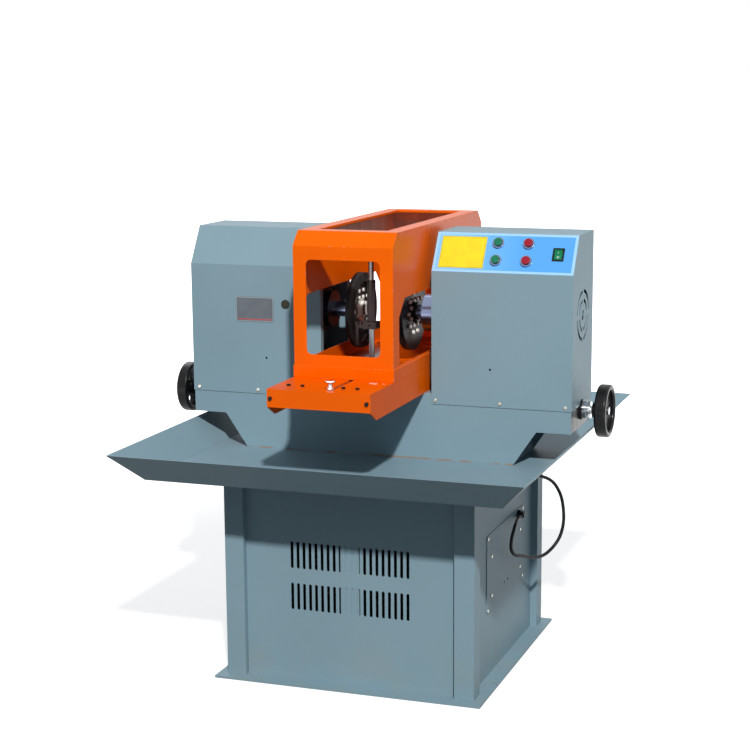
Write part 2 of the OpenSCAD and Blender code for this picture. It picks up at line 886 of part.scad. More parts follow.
// The bed's deck and its cross ribs, between its two side plates
module bed_frame() {
    deck_z = bed_top_z - bed_t;
    color(paint) difference() {
        union() {
            translate([-bed_half, -bed_in_y, deck_z]) cube([2 * bed_half, 2 * bed_in_y, bed_t]);
            for (side = sides) on_side(side) {
                translate([rib_x, -bed_in_y, bed_low_z])
                    cube([rib_t, 2 * bed_in_y, deck_z - bed_low_z]);
                translate([foot_x - bed_t, -bed_in_y, bed_low_z])
                    cube([bed_t, 2 * bed_in_y, knee_z - bed_low_z]);
            }
        }
        for (side = sides) on_side(side) {
            translate([nut_mid_x(side) - nut_len / 2 - head_in - deck_slot_spare,
                -nut_half_w - deck_slot_spare, deck_z - cut])
                cube([nut_len + head_in + head_out + 2 * deck_slot_spare,
                    2 * nut_half_w + 2 * deck_slot_spare, bed_t + 2 * cut]);
            translate([0, 0, screw_z]) hole_x(screw_r + run_fit, rib_x, rib_x + rib_t);
        }
    }
}

module slide_ways() {
    outline = [[way_in, 0], [way_out - way_undercut, 0], [way_out, way_h], [way_in, way_h]];
    color(steel) for (side = sides, back = [0, 1])
        on_side(side) mirror([0, back, 0]) translate([way_from, 0, bed_top_z])
            facing_x(way_to - way_from) polygon(outline);
}

module screw_brackets() {
    color(black) for (side = sides) on_side(side) difference() {
        union() {
            translate([bed_half - bracket_t, -bed_in_y, bracket_low_z])
                cube([bracket_t, 2 * bed_in_y, bed_top_z - bed_t - bracket_low_z]);
            translate([0, 0, screw_z])
                rod_x(bracket_boss_r, bed_half - cut, bed_half + bracket_boss_h);
        }
        translate([0, 0, screw_z])
            hole_x(screw_r + run_fit, bed_half - bracket_t, bed_half + bracket_boss_h);
    }
}

function cover_outline(inset) = let (y = cover_y - inset, miter = inset * tan(slope_tilt / 2))
    [[-y, cover_low_z - (inset > 0 ? cut : 0)], [-y, slope_low_z - inset * tan((90 - slope_tilt) / 2)],
    [slope_run - cover_y + miter, cover_top_z - inset], [y, cover_top_z - inset],
    [y, cover_low_z - (inset > 0 ? cut : 0)]];

module cover_lip_outline() {
    low_z = bed_top_z;
    side_y = cover_y - cover_lip;
    polygon([[-side_y, low_z], [-side_y, slope_low_z - cover_lip],
        [slope_run - cover_y + cover_lip, cover_top_z - cover_lip],
        [side_y, cover_top_z - cover_lip], [side_y, low_z]]);
}

module vent_slots() {
    difference() {
        for (r = vent_radii) difference() {
            circle(r = r + vent_slot_w / 2);
            circle(r = r - vent_slot_w / 2);
        }
        for (a = [0, 90]) rotate(a)
            square([2 * (vent_radii[0] + vent_slot_w), vent_spoke_w], center = true);
    }
    circle(r = vent_core_r);
}

// A sheet cover, open below, with a lip round its open inner end and a vent in its outer end
module cover_shell() {
    length = cover_out_x - cover_in_x;
    difference() {
        translate([cover_in_x, 0, 0]) facing_x(length) polygon(cover_outline(0));
        translate([cover_in_x + cover_t, 0, 0]) facing_x(length - 2 * cover_t)
            polygon(cover_outline(cover_t));
        translate([cover_in_x - cut, 0, 0]) facing_x(cover_t + 2 * cut) cover_lip_outline();
        translate([cover_in_x - cut, cover_t - cover_y, cover_low_z - cut])
            cube([cover_t + 2 * cut, cover_d - 2 * cover_t, bed_top_z - cover_low_z + cut + touch]);
        translate([cover_out_x - cover_t - cut, 0, spindle_z + vent_rise])
            facing_x(cover_t + 2 * cut) vent_slots();
        translate([0, 0, screw_z])
            hole_x(bracket_boss_r + touch, cover_out_x - cover_t, cover_out_x);
        for (y = [-cover_y, cover_y], x = cover_screw_xs)
            translate([x, y, cover_screw_z]) rotate([90, 0, 0])
                cylinder(r = screw_shank_r, h = 2 * cut + 2 * cover_t, center = true);
        translate([oil_hole_x, -cover_y, oil_hole_z]) rotate([90, 0, 0])
            cylinder(r = oil_hole_r, h = 2 * cut + 2 * cover_t, center = true);
    }
}

module cover_left() {
    color(paint) difference() {
        on_side(left) cover_shell();
        translate([sight_x, -cover_y, sight_z]) rotate([90, 0, 0])
            cylinder(r = sight_r - sight_h, h = 2 * cut + 2 * cover_t, center = true);
    }
}

module cover_right() {
    color(paint) difference() {
        cover_shell();
        for (x = [start_x, stop_x], v = [lower_v, upper_v]) on_slope(x, v, -cover_t - cut)
            cylinder(r = barrel_hole_r, h = cover_t + 2 * cut);
        on_slope(rocker_x, rocker_v, -cover_t - cut) linear_extrude(height = cover_t + 2 * cut)
            square([rocker_w + 2 * rocker_gap + rocker_frame + touch,
                rocker_h + 2 * rocker_gap + rocker_frame + touch], center = true);
    }
}

module blank_nameplate() {
    color(cast) translate([nameplate_x, -cover_y, nameplate_z]) facing_y(nameplate_t)
        rounded(nameplate_w, nameplate_h, nameplate_r);
}

module sight_plug() {
    color(black) translate([sight_x, -cover_y, sight_z]) rotate([90, 0, 0]) rotate_extrude() {
        square([sight_r, sight_h / 2]);
        square([sight_r - sight_h / 2, sight_h]);
        translate([sight_r - sight_h / 2, sight_h / 2]) intersection() {
            circle(r = sight_h / 2);
            square(sight_h);
        }
        translate([0, -cover_t - sight_h]) square([sight_r - sight_h - seat_fit, cover_t + sight_h]);
    }
}

// Panel sheet with its blank notice field, which stands a little proud
module control_panel() {
    w = cover_out_x - cover_in_x - 2 * console_margin;
    h = slope_len - 2 * console_margin;
    mid_x = (cover_in_x + cover_out_x) / 2;
    color([0.98, 0.85, 0.1]) on_slope(notice_x, notice_v, console_t)
        linear_extrude(height = notice_t) square([notice_w, notice_h], center = true);
    color([0.25, 0.55, 0.85]) on_slope(0, 0, 0) linear_extrude(height = console_t) difference() {
        translate([mid_x, slope_len / 2]) square([w, h], center = true);
        for (x = [start_x, stop_x], v = [lower_v, upper_v]) translate([x, v])
            circle(r = barrel_hole_r);
        translate([rocker_x, rocker_v])
            square([rocker_w + 2 * rocker_gap + rocker_frame + touch,
                rocker_h + 2 * rocker_gap + rocker_frame + touch], center = true);
    }
}

// Collar, barrel and contact block of one push button
module bezel() {
    block_out = -barrel_depth;
    rotate_extrude() {
        translate([cap_r + cap_gap, 0]) square([bezel_r - cap_r - cap_gap, bezel_h]);
        translate([stem_r + run_fit, 0]) square([bezel_r - stem_r - run_fit, bezel_floor_h]);
        translate([stem_r + run_fit, block_out])
            square([barrel_wall, barrel_depth + bezel_floor_h]);
    }
    translate([-block_size[0] / 2, -block_size[1] / 2, block_out - block_size[2]])
        cube(block_size);
}

module button_bezels() {
    color(chrome) for (x = [start_x, stop_x], v = [lower_v, upper_v])
        on_slope(x, v, console_t) bezel();
}

// One push button's cap and stem, with room below the cap for its travel
module button(x, v) {
    rest = bezel_floor_h + touch + cap_travel;
    on_slope(x, v, console_t) rotate_extrude() {
        translate([0, rest]) square([cap_r - cap_h / 4, cap_h]);
        translate([0, rest]) square([cap_r, 3 * cap_h / 4]);
        translate([cap_r - cap_h / 4, rest + 3 * cap_h / 4]) intersection() {
            circle(r = cap_h / 4);
            square(cap_h);
        }
        translate([0, -stem_depth]) square([stem_r, stem_depth + rest]);
    }
}

module rocker_bezel() {
    hole_w = rocker_w + 2 * rocker_gap;
    hole_h = rocker_h + 2 * rocker_gap;
    color(black) on_slope(rocker_x, rocker_v, console_t) difference() {
        union() {
            linear_extrude(height = rocker_flange)
                rounded(hole_w + 2 * rocker_frame, hole_h + 2 * rocker_frame, rocker_gap);
            translate([0, 0, -rocker_depth]) linear_extrude(height = rocker_depth + rocker_flange / 2)
                square([hole_w + rocker_frame, hole_h + rocker_frame], center = true);
        }
        translate([0, 0, rocker_frame - rocker_depth]) linear_extrude(height = rocker_depth)
            square([hole_w, hole_h], center = true);
        translate([0, 0, -rocker_pivot]) rotate([0, 90, 0])
            cylinder(r = rocker_pivot / 2 + run_fit, h = hole_w + rocker_frame, center = true);
    }
}

module rocker_switch() {
    half = rocker_h / 2;
    color([0.05, 0.5, 0.32]) on_slope(rocker_x, rocker_v, console_t)
        translate([0, 0, -rocker_pivot]) rotate([rocker_tilt, 0, 0]) {
            translate([-rocker_w / 2, 0, 0]) facing_x(rocker_w)
                polygon([[-half, rocker_pivot], [0, -rocker_keel], [half, rocker_pivot],
                    [half, rocker_pivot + rocker_rise], [0, rocker_pivot + rocker_dip],
                    [-half, rocker_pivot + rocker_rise]]);
            rotate([0, 90, 0]) cylinder(r = rocker_pivot / 2,
                h = rocker_w + 2 * rocker_gap + rocker_frame - 2 * touch, center = true);
        }
}

function hood_outline(inset, low, high) = let (miter = inset * tan(45 / 2),
    f = hood_front_y + inset, b = hood_back_y - inset, shoulder = hood_top_z - hood_slope - miter,
    reach = high - shoulder)
    [[f, low], [f, shoulder], [f + reach, high], [b - reach, high], [b, shoulder], [b, low]];

module side_opening() {
    polygon([[side_front_y, side_low_z], [side_front_y, side_high_z - side_chamfer],
        [side_front_y + side_chamfer, side_high_z], [side_back_y - side_chamfer, side_high_z],
        [side_back_y, side_high_z - side_chamfer], [side_back_y, side_low_z]]);
}

// The hood's opening from above, grown on all four sides
module hood_mouth(grow) {
    w = hood_w - 2 * hem_w + 2 * grow;
    d = hood_back_y - hood_front_y - 2 * hood_slope - 2 * hem_w + 2 * grow;
    translate([0, (hood_front_y + hood_back_y) / 2]) square([w, d], center = true);
}

module hood_shell() {
    inner_x = hood_x - hood_t;
    band_x = hood_x + band_t;
    color(orange) translate([0, 0, hood_top_z - hem_t - hem_lip_h])
        linear_extrude(height = hem_t + hem_lip_h) difference() {
            hood_mouth(hem_t);
            hood_mouth(0);
        }
    color(orange) difference() {
        union() {
            translate([-hood_x, 0, 0]) facing_x(hood_w)
                polygon(hood_outline(0, hood_low_z, hood_top_z));
            translate([-band_x, hood_front_y - band_t, hood_low_z])
                cube([2 * band_x, hood_back_y - hood_front_y + 2 * band_t, band_h]);
        }
        translate([-inner_x, 0, 0]) facing_x(2 * inner_x)
            polygon(hood_outline(hood_t, hood_low_z - cut, hood_top_z - hem_t));
        translate([0, 0, hood_top_z - hem_t - cut]) linear_extrude(height = hem_t + 2 * cut)
            hood_mouth(0);
        translate([0, hood_front_y + hood_t + cut, hood_low_z + window_up + window_h / 2])
            facing_y(hood_t + 2 * cut) rounded(window_w, window_h, window_r);
        translate([-hood_x - cut, 0, 0]) facing_x(hood_w + 2 * cut) side_opening();
    }
}

module hood_liner() {
    outer_x = hood_x - hood_t;
    inner_x = outer_x - liner_t;
    color([0.72, 0.68, 0.60]) difference() {
        translate([-outer_x, 0, 0]) facing_x(2 * outer_x)
            polygon(hood_outline(hood_t, liner_low_z, liner_high_z));
        translate([-inner_x, 0, 0]) facing_x(2 * inner_x)
            polygon(hood_outline(hood_t + liner_t, liner_low_z - cut, liner_high_z + cut));
    }
}

module table_side() {
    low_z = bed_top_z;
    polygon([[table_front_y, table_top_z], [table_front_y, table_top_z - table_lip_h],
        [table_front_y + table_nose, low_z], [table_back_y - table_nose, low_z],
        [table_back_y, table_top_z - table_lip_h], [table_back_y, table_top_z]]);
}

module feed_table() {
    length = table_back_y - table_front_y;
    color(orange) difference() {
        union() {
            translate([-table_x, table_front_y, table_top_z - table_t])
                cube([table_w, length, table_t]);
            for (y = [table_front_y, table_back_y - table_t])
                translate([-table_x, y, table_top_z - table_lip_h])
                    cube([table_w, table_t, table_lip_h]);
            for (x = [-table_x, table_x - table_t])
                translate([x, 0, 0]) facing_x(table_t) table_side();
        }
        translate([feed_x, (slot_from_y + slot_to_y) / 2, table_top_z - table_t - cut])
            linear_extrude(height = table_t + 2 * cut)
                long_slot(2 * slot_half_w,
                    slot_to_y - slot_from_y + 2 * (slot_half_w + slot_spare));
        for (side = sides, i = [0, 1], y = [rail_screw_front_y, rail_screw_back_y])
            translate([rail_screw_x(side, i), y, table_top_z - table_t - cut])
                cylinder(r = table_shank_r + seat_fit, h = table_t + 2 * cut);
        for (x = [-lip_screw_x, lip_screw_x])
            translate([x, table_front_y + table_t / 2, lip_screw_z]) rotate([90, 0, 0])
                cylinder(r = table_shank_r + seat_fit, h = table_t + 2 * cut, center = true);
    }
}

function rail_screw_x(side, i) = rail_mid_x
    + side * (rail_gap / 2 + (i == 0 ? rail_inset : rail_w - rail_inset));

// A round-headed socket screw that points down, with its head's underside at the origin
module socket_screw(length) {
    difference() {
        union() {
            cylinder(r = table_screw_r, h = table_screw_h);
            translate([0, 0, -length]) cylinder(r = table_shank_r, h = length + cut);
        }
        translate([0, 0, table_screw_h / 2])
            cylinder(r = table_shank_r - touch, h = table_screw_h, $fn = 6);
    }
}

module table_screws() {
    color(black) {
        for (side = sides, i = [0, 1], y = [rail_screw_front_y, rail_screw_back_y])
            translate([rail_screw_x(side, i), y, table_top_z])
                socket_screw(table_t + rail_bar_h / 2);
        for (x = [-lip_screw_x, lip_screw_x])
            translate([x, table_front_y, lip_screw_z]) rotate([90, 0, 0])
                socket_screw(2 * table_t);
    }
}

module table_rails() {
    low_z = table_top_z - table_t - rail_bar_h;
    inner = rail_gap / 2;
    outline = [[inner, rail_bar_h], [inner, rail_lip_h], [inner - rail_lip_w, rail_lip_h],
        [inner - rail_lip_w, 0], [inner + rail_w, 0], [inner + rail_w, rail_bar_h]];
    color(steel) difference() {
        for (side = sides) translate([rail_mid_x, rail_to_y, low_z])
            on_side(side) facing_y(rail_to_y - rail_from_y) polygon(outline);
        for (side = sides, i = [0, 1], y = [rail_screw_front_y, rail_screw_back_y])
            translate([rail_screw_x(side, i), y, low_z + rail_bar_h / 2])
                cylinder(r = table_shank_r + seat_fit, h = rail_bar_h);
    }
}

bar_low_z = table_top_z - table_t - rail_bar_h + rail_lip_h + touch;
bar_high_z = table_top_z - table_t - touch;

module feed_bar() {
    color(steel) difference() {
        translate([rail_mid_x - bar_w / 2, bar_from_y, bar_low_z])
            cube([bar_w, bar_to_y - bar_from_y, bar_high_z - bar_low_z]);
        for (y = [knob_y, post_y]) translate([feed_x, y, bar_low_z - cut])
            cylinder(r = stem_bolt_r + run_fit, h = bar_high_z - bar_low_z + 2 * cut);
    }
}

module clamp_knob() {
    color(chrome) translate([feed_x, knob_y, 0]) rotate_extrude() {
        translate([0, bar_low_z]) square([stem_bolt_r, table_top_z - bar_low_z + touch]);
        translate([0, table_top_z + touch]) polygon([[0, 0], [knob_base_r, 0],
            [knob_base_r, knob_foot_h], [knob_waist_r, knob_foot_h + touch],
            [knob_waist_r, knob_h - knob_cone_h - knob_foot_h / 2],
            [knob_top_r, knob_h - knob_foot_h / 2], [knob_top_r, knob_h], [0, knob_h]]);
    }
}

module rest_post() {
    foot_z = table_top_z + touch;
    color(chrome) translate([feed_x, post_y, 0]) {
        translate([0, 0, bar_low_z]) cylinder(r = stem_bolt_r, h = foot_z - bar_low_z + cut);
        translate([-foot_w / 2, -foot_w / 2, foot_z]) cube([foot_w, foot_w, foot_h]);
        translate([0, 0, foot_z + foot_h - cut])
            cylinder(r = post_r, h = post_top_z - foot_z - foot_h + cut);
    }
}

// Clamp collar on the post, with an arm back to the ring that holds the work between the discs
module work_arm() {
    collar_mid_z = collar_low_z + collar_h / 2;
    color(steel) difference() {
        union() {
            translate([feed_x - collar_w / 2, post_y - collar_w / 2, collar_low_z])
                cube([collar_w, collar_w, collar_h]);
            translate([feed_x, post_y, collar_low_z])
                cylinder(r = sleeve_r, h = sleeve_top_z - collar_low_z);
            translate([work_x - arm_t / 2, arm_front_y, collar_low_z])
                cube([feed_x - work_x, arm_back_y - arm_front_y, arm_t]);
            translate([work_x - arm_t / 2, arm_front_y, work_z - arm_t / 2])
                cube([arm_t, arm_back_y - arm_front_y, collar_low_z + arm_t - work_z + arm_t / 2]);
            translate([work_x - arm_t / 2, arm_back_y - cut, work_z - arm_t / 2])
                cube([arm_t, work_y - arm_back_y - work_ring_bore_r, arm_t]);
            translate([work_x, work_y, work_z])
                rod_x(work_ring_r, -arm_t / 2, arm_t / 2);
        }
        translate([feed_x, post_y, collar_low_z - cut])
            cylinder(r = post_r + run_fit, h = sleeve_top_z - collar_low_z + 2 * cut);
        translate([work_x, work_y, work_z]) hole_x(work_ring_bore_r, -arm_t / 2, arm_t / 2);
        translate([feed_x, post_y - collar_w / 2 - cut, collar_mid_z]) rotate([-90, 0, 0])
            cylinder(r = screw_shank_r, h = collar_w / 2);
    }
}

// Dovetail saddle that carries a headstock and its motor
module saddle(side) {
    low_z = bed_top_z + touch;
    groove_z = bed_top_z + way_h + slide_gap;
    low_y = way_out - way_undercut + slide_gap;
    color(cast) on_side(side) translate([back_x(side) + saddle_from, 0, 0]) difference() {
        translate([0, -saddle_half_w, low_z])
            cube([saddle_len, 2 * saddle_half_w, saddle_top_z - low_z]);
        translate([-cut, 0, 0]) facing_x(saddle_len + 2 * cut)
            polygon([[-low_y, bed_top_z], [low_y, bed_top_z], [low_y + way_undercut, groove_z],
                [-low_y - way_undercut, groove_z]]);
    }
}

module feed_nut(side) {
    high_z = bed_top_z + way_h + slide_gap;
    color([0.72, 0.55, 0.25]) on_side(side)
        translate([nut_mid_x(side) - nut_len / 2, 0, 0]) difference() {
            translate([0, -nut_half_w, nut_low_z])
                cube([nut_len, 2 * nut_half_w, high_z - nut_low_z]);
            translate([0, 0, screw_z]) hole_x(screw_r + run_fit, 0, nut_len);
        }
}

module headstock(side) {
    body_x = stock_x + stock_boss_len;
    base_z = saddle_top_z - spindle_z;
    color(cast) on_head(side) difference() {
        union() {
            rod_x(stock_boss_r, stock_x, body_x + cut);
            translate([body_x, 0, 0]) facing_x(stock_body_len) {
                circle(r = stock_half_w);
                translate([-stock_half_w, base_z]) square([2 * stock_half_w, -base_z]);
            }
        }
        rod_x(bearing_r, stock_x + stock_lip_t, motor_x + cut);
        hole_x(stock_lip_r, stock_x, stock_x + stock_lip_t);
    }
}

module motor_ends() {
    shield_2 = motor_x + shield_t + frame_len;
    ring_x(shield_r, spindle_r + touch, motor_x, motor_x + shield_t);
    ring_x(shield_r, tail_bearing_r, shield_2, shield_2 + shield_t);
}

module fan_cowl() {
    from = motor_x + 2 * shield_t + frame_len;
    difference() {
        rod_x(cowl_r, from - shield_t / 2, from + cowl_len);
        hole_x(cowl_r - cowl_t, from - shield_t / 2 - cut, from + cowl_len - cowl_t - cut);
        translate([from + cowl_len - cowl_t - cut, 0, 0]) facing_x(cowl_t + 2 * cut) difference() {
            for (r = cowl_slot_rs) difference() {
                circle(r = r + cowl_slot_w / 2);
                circle(r = r - cowl_slot_w / 2);
            }
            for (a = [0, 90]) rotate(a) square([2 * cowl_r, cowl_spoke_w], center = true);
        }
    }
}

module motor(side) {
    frame_x = motor_x + shield_t;
    foot_z = saddle_top_z - spindle_z;
    color(paint) on_head(side) {
        difference() {
            union() {
                translate([frame_x, 0, 0]) facing_x(frame_len) {
                    circle(r = frame_root_r);
                    for (i = [0 : fin_count - 1]) rotate(i * 360 / fin_count)
                        translate([frame_root_r - cut, -fin_w / 2])
                            square([motor_r - frame_root_r + cut, fin_w]);
                }
                translate([frame_x + (frame_len - motor_foot_len) / 2, -motor_foot_w / 2, foot_z])
                    cube([motor_foot_len, motor_foot_w, -foot_z]);
                translate([frame_x + (frame_len - box_size[0]) / 2, box_y, 0])
                    cube([box_size[0], box_size[1], motor_r + box_size[2]]);
            }
            hole_x(stator_bore_r, frame_x, frame_x + frame_len);
        }
        motor_ends();
        fan_cowl();
    }
}

module bearings(side) {
    shield_2 = motor_x + shield_t + frame_len;
    first = stock_x + stock_lip_t;
    second = motor_x - bearing_w;
    color(steel) on_head(side) {
        for (x = [first, second])
            ring_x(bearing_r - seat_fit, spindle_r + run_fit, x, x + bearing_w);
        ring_x(tail_bearing_r - seat_fit, tail_r + run_fit, shield_2, shield_2 + tail_bearing_w);
    }
}

// Spindle with its drum, motor rotor and cooling fan
module spindle(side) {
    rotor_from = motor_x + shield_t + rotor_gap;
    rotor_to = motor_x + shield_t + frame_len - rotor_gap;
    fan_x = motor_x + 2 * shield_t + frame_len + fan_gap;
    color(chrome) on_head(side) {
        rod_x(nose_r, -disc_t - nose_len, 0);
        rod_x(spindle_r, -disc_t, rotor_to);
        rod_x(drum_r, drum_x(side), stock_x - drum_gap);
        rod_x(rotor_r, rotor_from, rotor_to);
        rod_x(tail_r, rotor_from, fan_x + fan_hub_h);
        rod_x(fan_hub_r, fan_x, fan_x + fan_hub_h);
        rod_x(fan_r, fan_x, fan_x + fan_disc_t);
        for (i = [0 : fan_blades - 1]) rotate([i * 360 / fan_blades, 0, 0])
            translate([fan_x, tail_r, -fan_blade_t / 2])
                cube([fan_hub_h, fan_r - tail_r, fan_blade_t]);
    }
}

module round_disc_screws(from, to, r) {
    for (i = [0 : outer_screws - 1]) rotate([i * 360 / outer_screws, 0, 0])
        translate([0, outer_screw_r, 0]) rod_x(r, from, to);
    for (i = [0 : inner_screws - 1]) rotate([(i + 1 / 2) * 360 / inner_screws, 0, 0])
        translate([0, inner_screw_r, 0]) rod_x(r, from, to);
}

module backing_disc(side) {
    color(black) on_head(side) difference() {
        union() {
            rod_x(disc_r, -disc_t, 0);
            rod_x(hub_sleeve_r, -cut, hub_sleeve_h);
        }
        hole_x(spindle_r + seat_fit, -disc_t, hub_sleeve_h);
        round_disc_screws(-disc_t - cut, cut, disc_screw_r + seat_fit);
    }
}

module abrasive_ring(side) {
    face = -disc_t - ring_h;
    color([0.16, 0.15, 0.15]) on_head(side) difference() {
        ring_x(disc_r, disc_r - ring_w, face, -disc_t);
        for (i = [1 : ring_grooves]) let (r = disc_r - i * ring_w / (ring_grooves + 1))
            ring_x(r + ring_groove_w / 2, r - ring_groove_w / 2, face - cut, face + ring_groove_h);
    }
}

module disc_screws(side) {
    color(zinc) on_head(side) {
        round_disc_screws(-disc_t - disc_screw_head_h, -disc_t, disc_screw_head_r);
        round_disc_screws(-disc_t - cut, disc_nut_h, disc_screw_r);
        round_disc_screws(0, disc_nut_h, disc_screw_head_r);
        ring_x(hub_washer_r, nose_r + seat_fit, -disc_t - hub_washer_h, -disc_t);
        translate([-disc_t - hub_washer_h - hub_nut_h, 0, 0]) difference() {
            along_x() cylinder(r = hub_nut_r, h = hub_nut_h, $fn = 6);
            hole_x(nose_r + seat_fit, 0, hub_nut_h);
        }
    }
}

module feed_screw(side) {
    collar_x = bed_half - bracket_t - touch;
    color(steel) on_side(side) translate([0, 0, screw_z]) {
        rod_x(screw_r, screw_from_x, wheel_out_x - wheel_web_inset + wheel_web_t);
        rod_x(thrust_collar_r, collar_x - thrust_collar_h, collar_x);
    }
}

module handwheel(side) {
    rim_x = wheel_out_x - wheel_rim_w;
    web_x = wheel_out_x - wheel_web_inset - wheel_web_t;
    hub_x = dial_x + dial_len + wheel_hub_gap;
    rim_in = wheel_r - rim_t;
    color(black) on_side(side) translate([0, 0, screw_z]) {
        translate([rim_x, 0, 0]) along_x() rotate_extrude() translate([wheel_r - rim_t / 2,
            wheel_rim_w / 2]) rounded(rim_t, wheel_rim_w, rim_round);
        difference() {
            rod_x(rim_in + rim_round / 2, web_x, web_x + wheel_web_t);
            hole_x(screw_r + seat_fit, web_x, web_x + wheel_web_t);
            for (i = [0 : wheel_holes - 1]) rotate([i * 360 / wheel_holes, 0, 0])
                translate([0, (rim_in + wheel_hub_r) / 2, 0])
                    hole_x(wheel_hole_r, web_x, web_x + wheel_web_t);
        }
        ring_x(wheel_hub_r, screw_r + seat_fit, hub_x, web_x);
    }
}

module dial(side) {
    color(chrome) on_side(side) translate([0, 0, screw_z]) difference() {
        rod_x(dial_r, dial_x, dial_x + dial_len);
        hole_x(screw_r + seat_fit, dial_x, dial_x + dial_len);
        ring_x(dial_r + cut, dial_r - dial_groove / 2, dial_x + dial_len / 2,
            dial_x + dial_len / 2 + dial_groove);
    }
}

module saddle_left() { saddle(left); }
module saddle_right() { saddle(right); }
module feed_nut_left() { feed_nut(left); }
module feed_nut_right() { feed_nut(right); }
module headstock_left() { headstock(left); }
module headstock_right() { headstock(right); }
module motor_left() { motor(left); }
module motor_right() { motor(right); }
module bearings_left() { bearings(left); }
module bearings_right() { bearings(right); }
module spindle_left() { spindle(left); }
module spindle_right() { spindle(right); }
module backing_disc_left() { backing_disc(left); }
module backing_disc_right() { backing_disc(right); }
module abrasive_ring_left() { abrasive_ring(left); }
module abrasive_ring_right() { abrasive_ring(right); }
module disc_screws_left() { disc_screws(left); }
module disc_screws_right() { disc_screws(right); }
module feed_screw_left() { feed_screw(left); }
module feed_screw_right() { feed_screw(right); }
module handwheel_left() { handwheel(left); }
module handwheel_right() { handwheel(right); }
module dial_left() { dial(left); }
module dial_right() { dial(right); }
module start_button_upper() { color([0.05, 0.45, 0.3]) button(start_x, upper_v); }
module start_button_lower() { color([0.05, 0.45, 0.3]) button(start_x, lower_v); }
module stop_button_upper() { color([0.7, 0.08, 0.15]) button(stop_x, upper_v); }
module stop_button_lower() { color([0.7, 0.08, 0.15]) button(stop_x, lower_v); }

base_flange();
cabinet_frame();
front_rear_panels();
side_panels();
access_cover();
panel_screws();
cable_glands();
motor_cable();
contactor_panel();
chip_tray();
tray_rim();
bed_sides();
bed_frame();
slide_ways();
screw_brackets();
cover_left();
cover_right();
blank_nameplate();
sight_plug();
control_panel();
button_bezels();
rocker_bezel();
hood_shell();
hood_liner();
feed_table();
table_screws();
table_rails();
feed_bar();
clamp_knob();
rest_post();
work_arm();
saddle_left();
saddle_right();
feed_nut_left();
feed_nut_right();
headstock_left();
headstock_right();
motor_left();
motor_right();
bearings_left();
bearings_right();
spindle_left();
spindle_right();
backing_disc_left();
backing_disc_right();
abrasive_ring_left();
abrasive_ring_right();
disc_screws_left();
disc_screws_right();
feed_screw_left();
feed_screw_right();
handwheel_left();
handwheel_right();
dial_left();
dial_right();
start_button_upper();
start_button_lower();
stop_button_upper();
stop_button_lower();
rocker_switch();
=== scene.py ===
"""Looks of a double disc surface grinder: paint, machined metal, screws, cable and controls."""
import json
import math

import bmesh
import bpy
from mathutils import Matrix, Vector


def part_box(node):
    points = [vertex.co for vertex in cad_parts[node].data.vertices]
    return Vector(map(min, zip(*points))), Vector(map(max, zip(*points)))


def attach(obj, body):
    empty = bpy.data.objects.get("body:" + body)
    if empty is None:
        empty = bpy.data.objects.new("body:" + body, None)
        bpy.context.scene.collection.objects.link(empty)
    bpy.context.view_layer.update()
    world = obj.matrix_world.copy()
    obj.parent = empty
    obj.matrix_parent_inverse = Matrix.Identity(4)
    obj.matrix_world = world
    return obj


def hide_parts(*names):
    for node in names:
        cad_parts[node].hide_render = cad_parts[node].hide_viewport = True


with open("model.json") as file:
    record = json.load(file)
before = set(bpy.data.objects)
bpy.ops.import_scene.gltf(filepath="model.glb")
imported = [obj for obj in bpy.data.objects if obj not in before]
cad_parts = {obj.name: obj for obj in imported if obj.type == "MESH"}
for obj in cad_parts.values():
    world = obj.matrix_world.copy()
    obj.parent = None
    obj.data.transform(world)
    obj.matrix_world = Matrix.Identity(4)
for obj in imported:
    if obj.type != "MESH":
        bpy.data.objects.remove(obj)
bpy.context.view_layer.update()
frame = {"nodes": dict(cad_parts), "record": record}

MM = 0.001
UP = Vector((0, 0, 1))
nodes_of_body = frame["record"]["behaviour"]["bodies"]
body_of_node = {node: body for body, nodes in nodes_of_body.items() for node in nodes}
slot_of_node = {row["node"]: row["material_slot"] for row in frame["record"]["subparts"]}
bpy.context.scene.view_settings.view_transform = "Standard"

# Camera at the photograph's viewing angle, fitted to the machine's edges, in metres and degrees
camera_azimuth = 19.2
camera_elevation = 10.9
camera_roll = -0.3
camera_distance = 4.604
camera_aim = Vector((0.0087, 0, 0.6917))
image_side_px = 750
focal_length_px = 1725.9
optical_centre_px = (393.0, 400.3)
sensor_width_mm = 36
farthest_seen = 60


def towards(azimuth, elevation):
    """Direction from the machine, turned from its front to its right and raised, in degrees."""
    turn, rise = math.radians(azimuth), math.radians(elevation)
    return Vector((math.sin(turn) * math.cos(rise), -math.cos(turn) * math.cos(rise), math.sin(rise)))


def add_camera():
    """Puts the camera where the photograph was taken, with its lens and its shifted centre."""
    back = towards(camera_azimuth, camera_elevation)
    right = towards(camera_azimuth + 90, 0)
    up = back.cross(right)
    roll = math.radians(camera_roll)
    tilted_right = right * math.cos(roll) + up * math.sin(roll)
    tilted_up = up * math.cos(roll) - right * math.sin(roll)
    lens = bpy.data.cameras.new("camera")
    lens.sensor_width = sensor_width_mm
    lens.lens = focal_length_px / image_side_px * sensor_width_mm
    lens.shift_x = (image_side_px / 2 - optical_centre_px[0]) / image_side_px
    lens.shift_y = (optical_centre_px[1] - image_side_px / 2) / image_side_px
    lens.clip_end = farthest_seen
    camera = bpy.data.objects.new("camera", lens)
    turn = Matrix((tilted_right, tilted_up, back)).transposed()
    camera.matrix_world = Matrix.Translation(camera_aim + back * camera_distance) @ turn.to_4x4()
    bpy.context.collection.objects.link(camera)
    bpy.context.scene.camera = camera


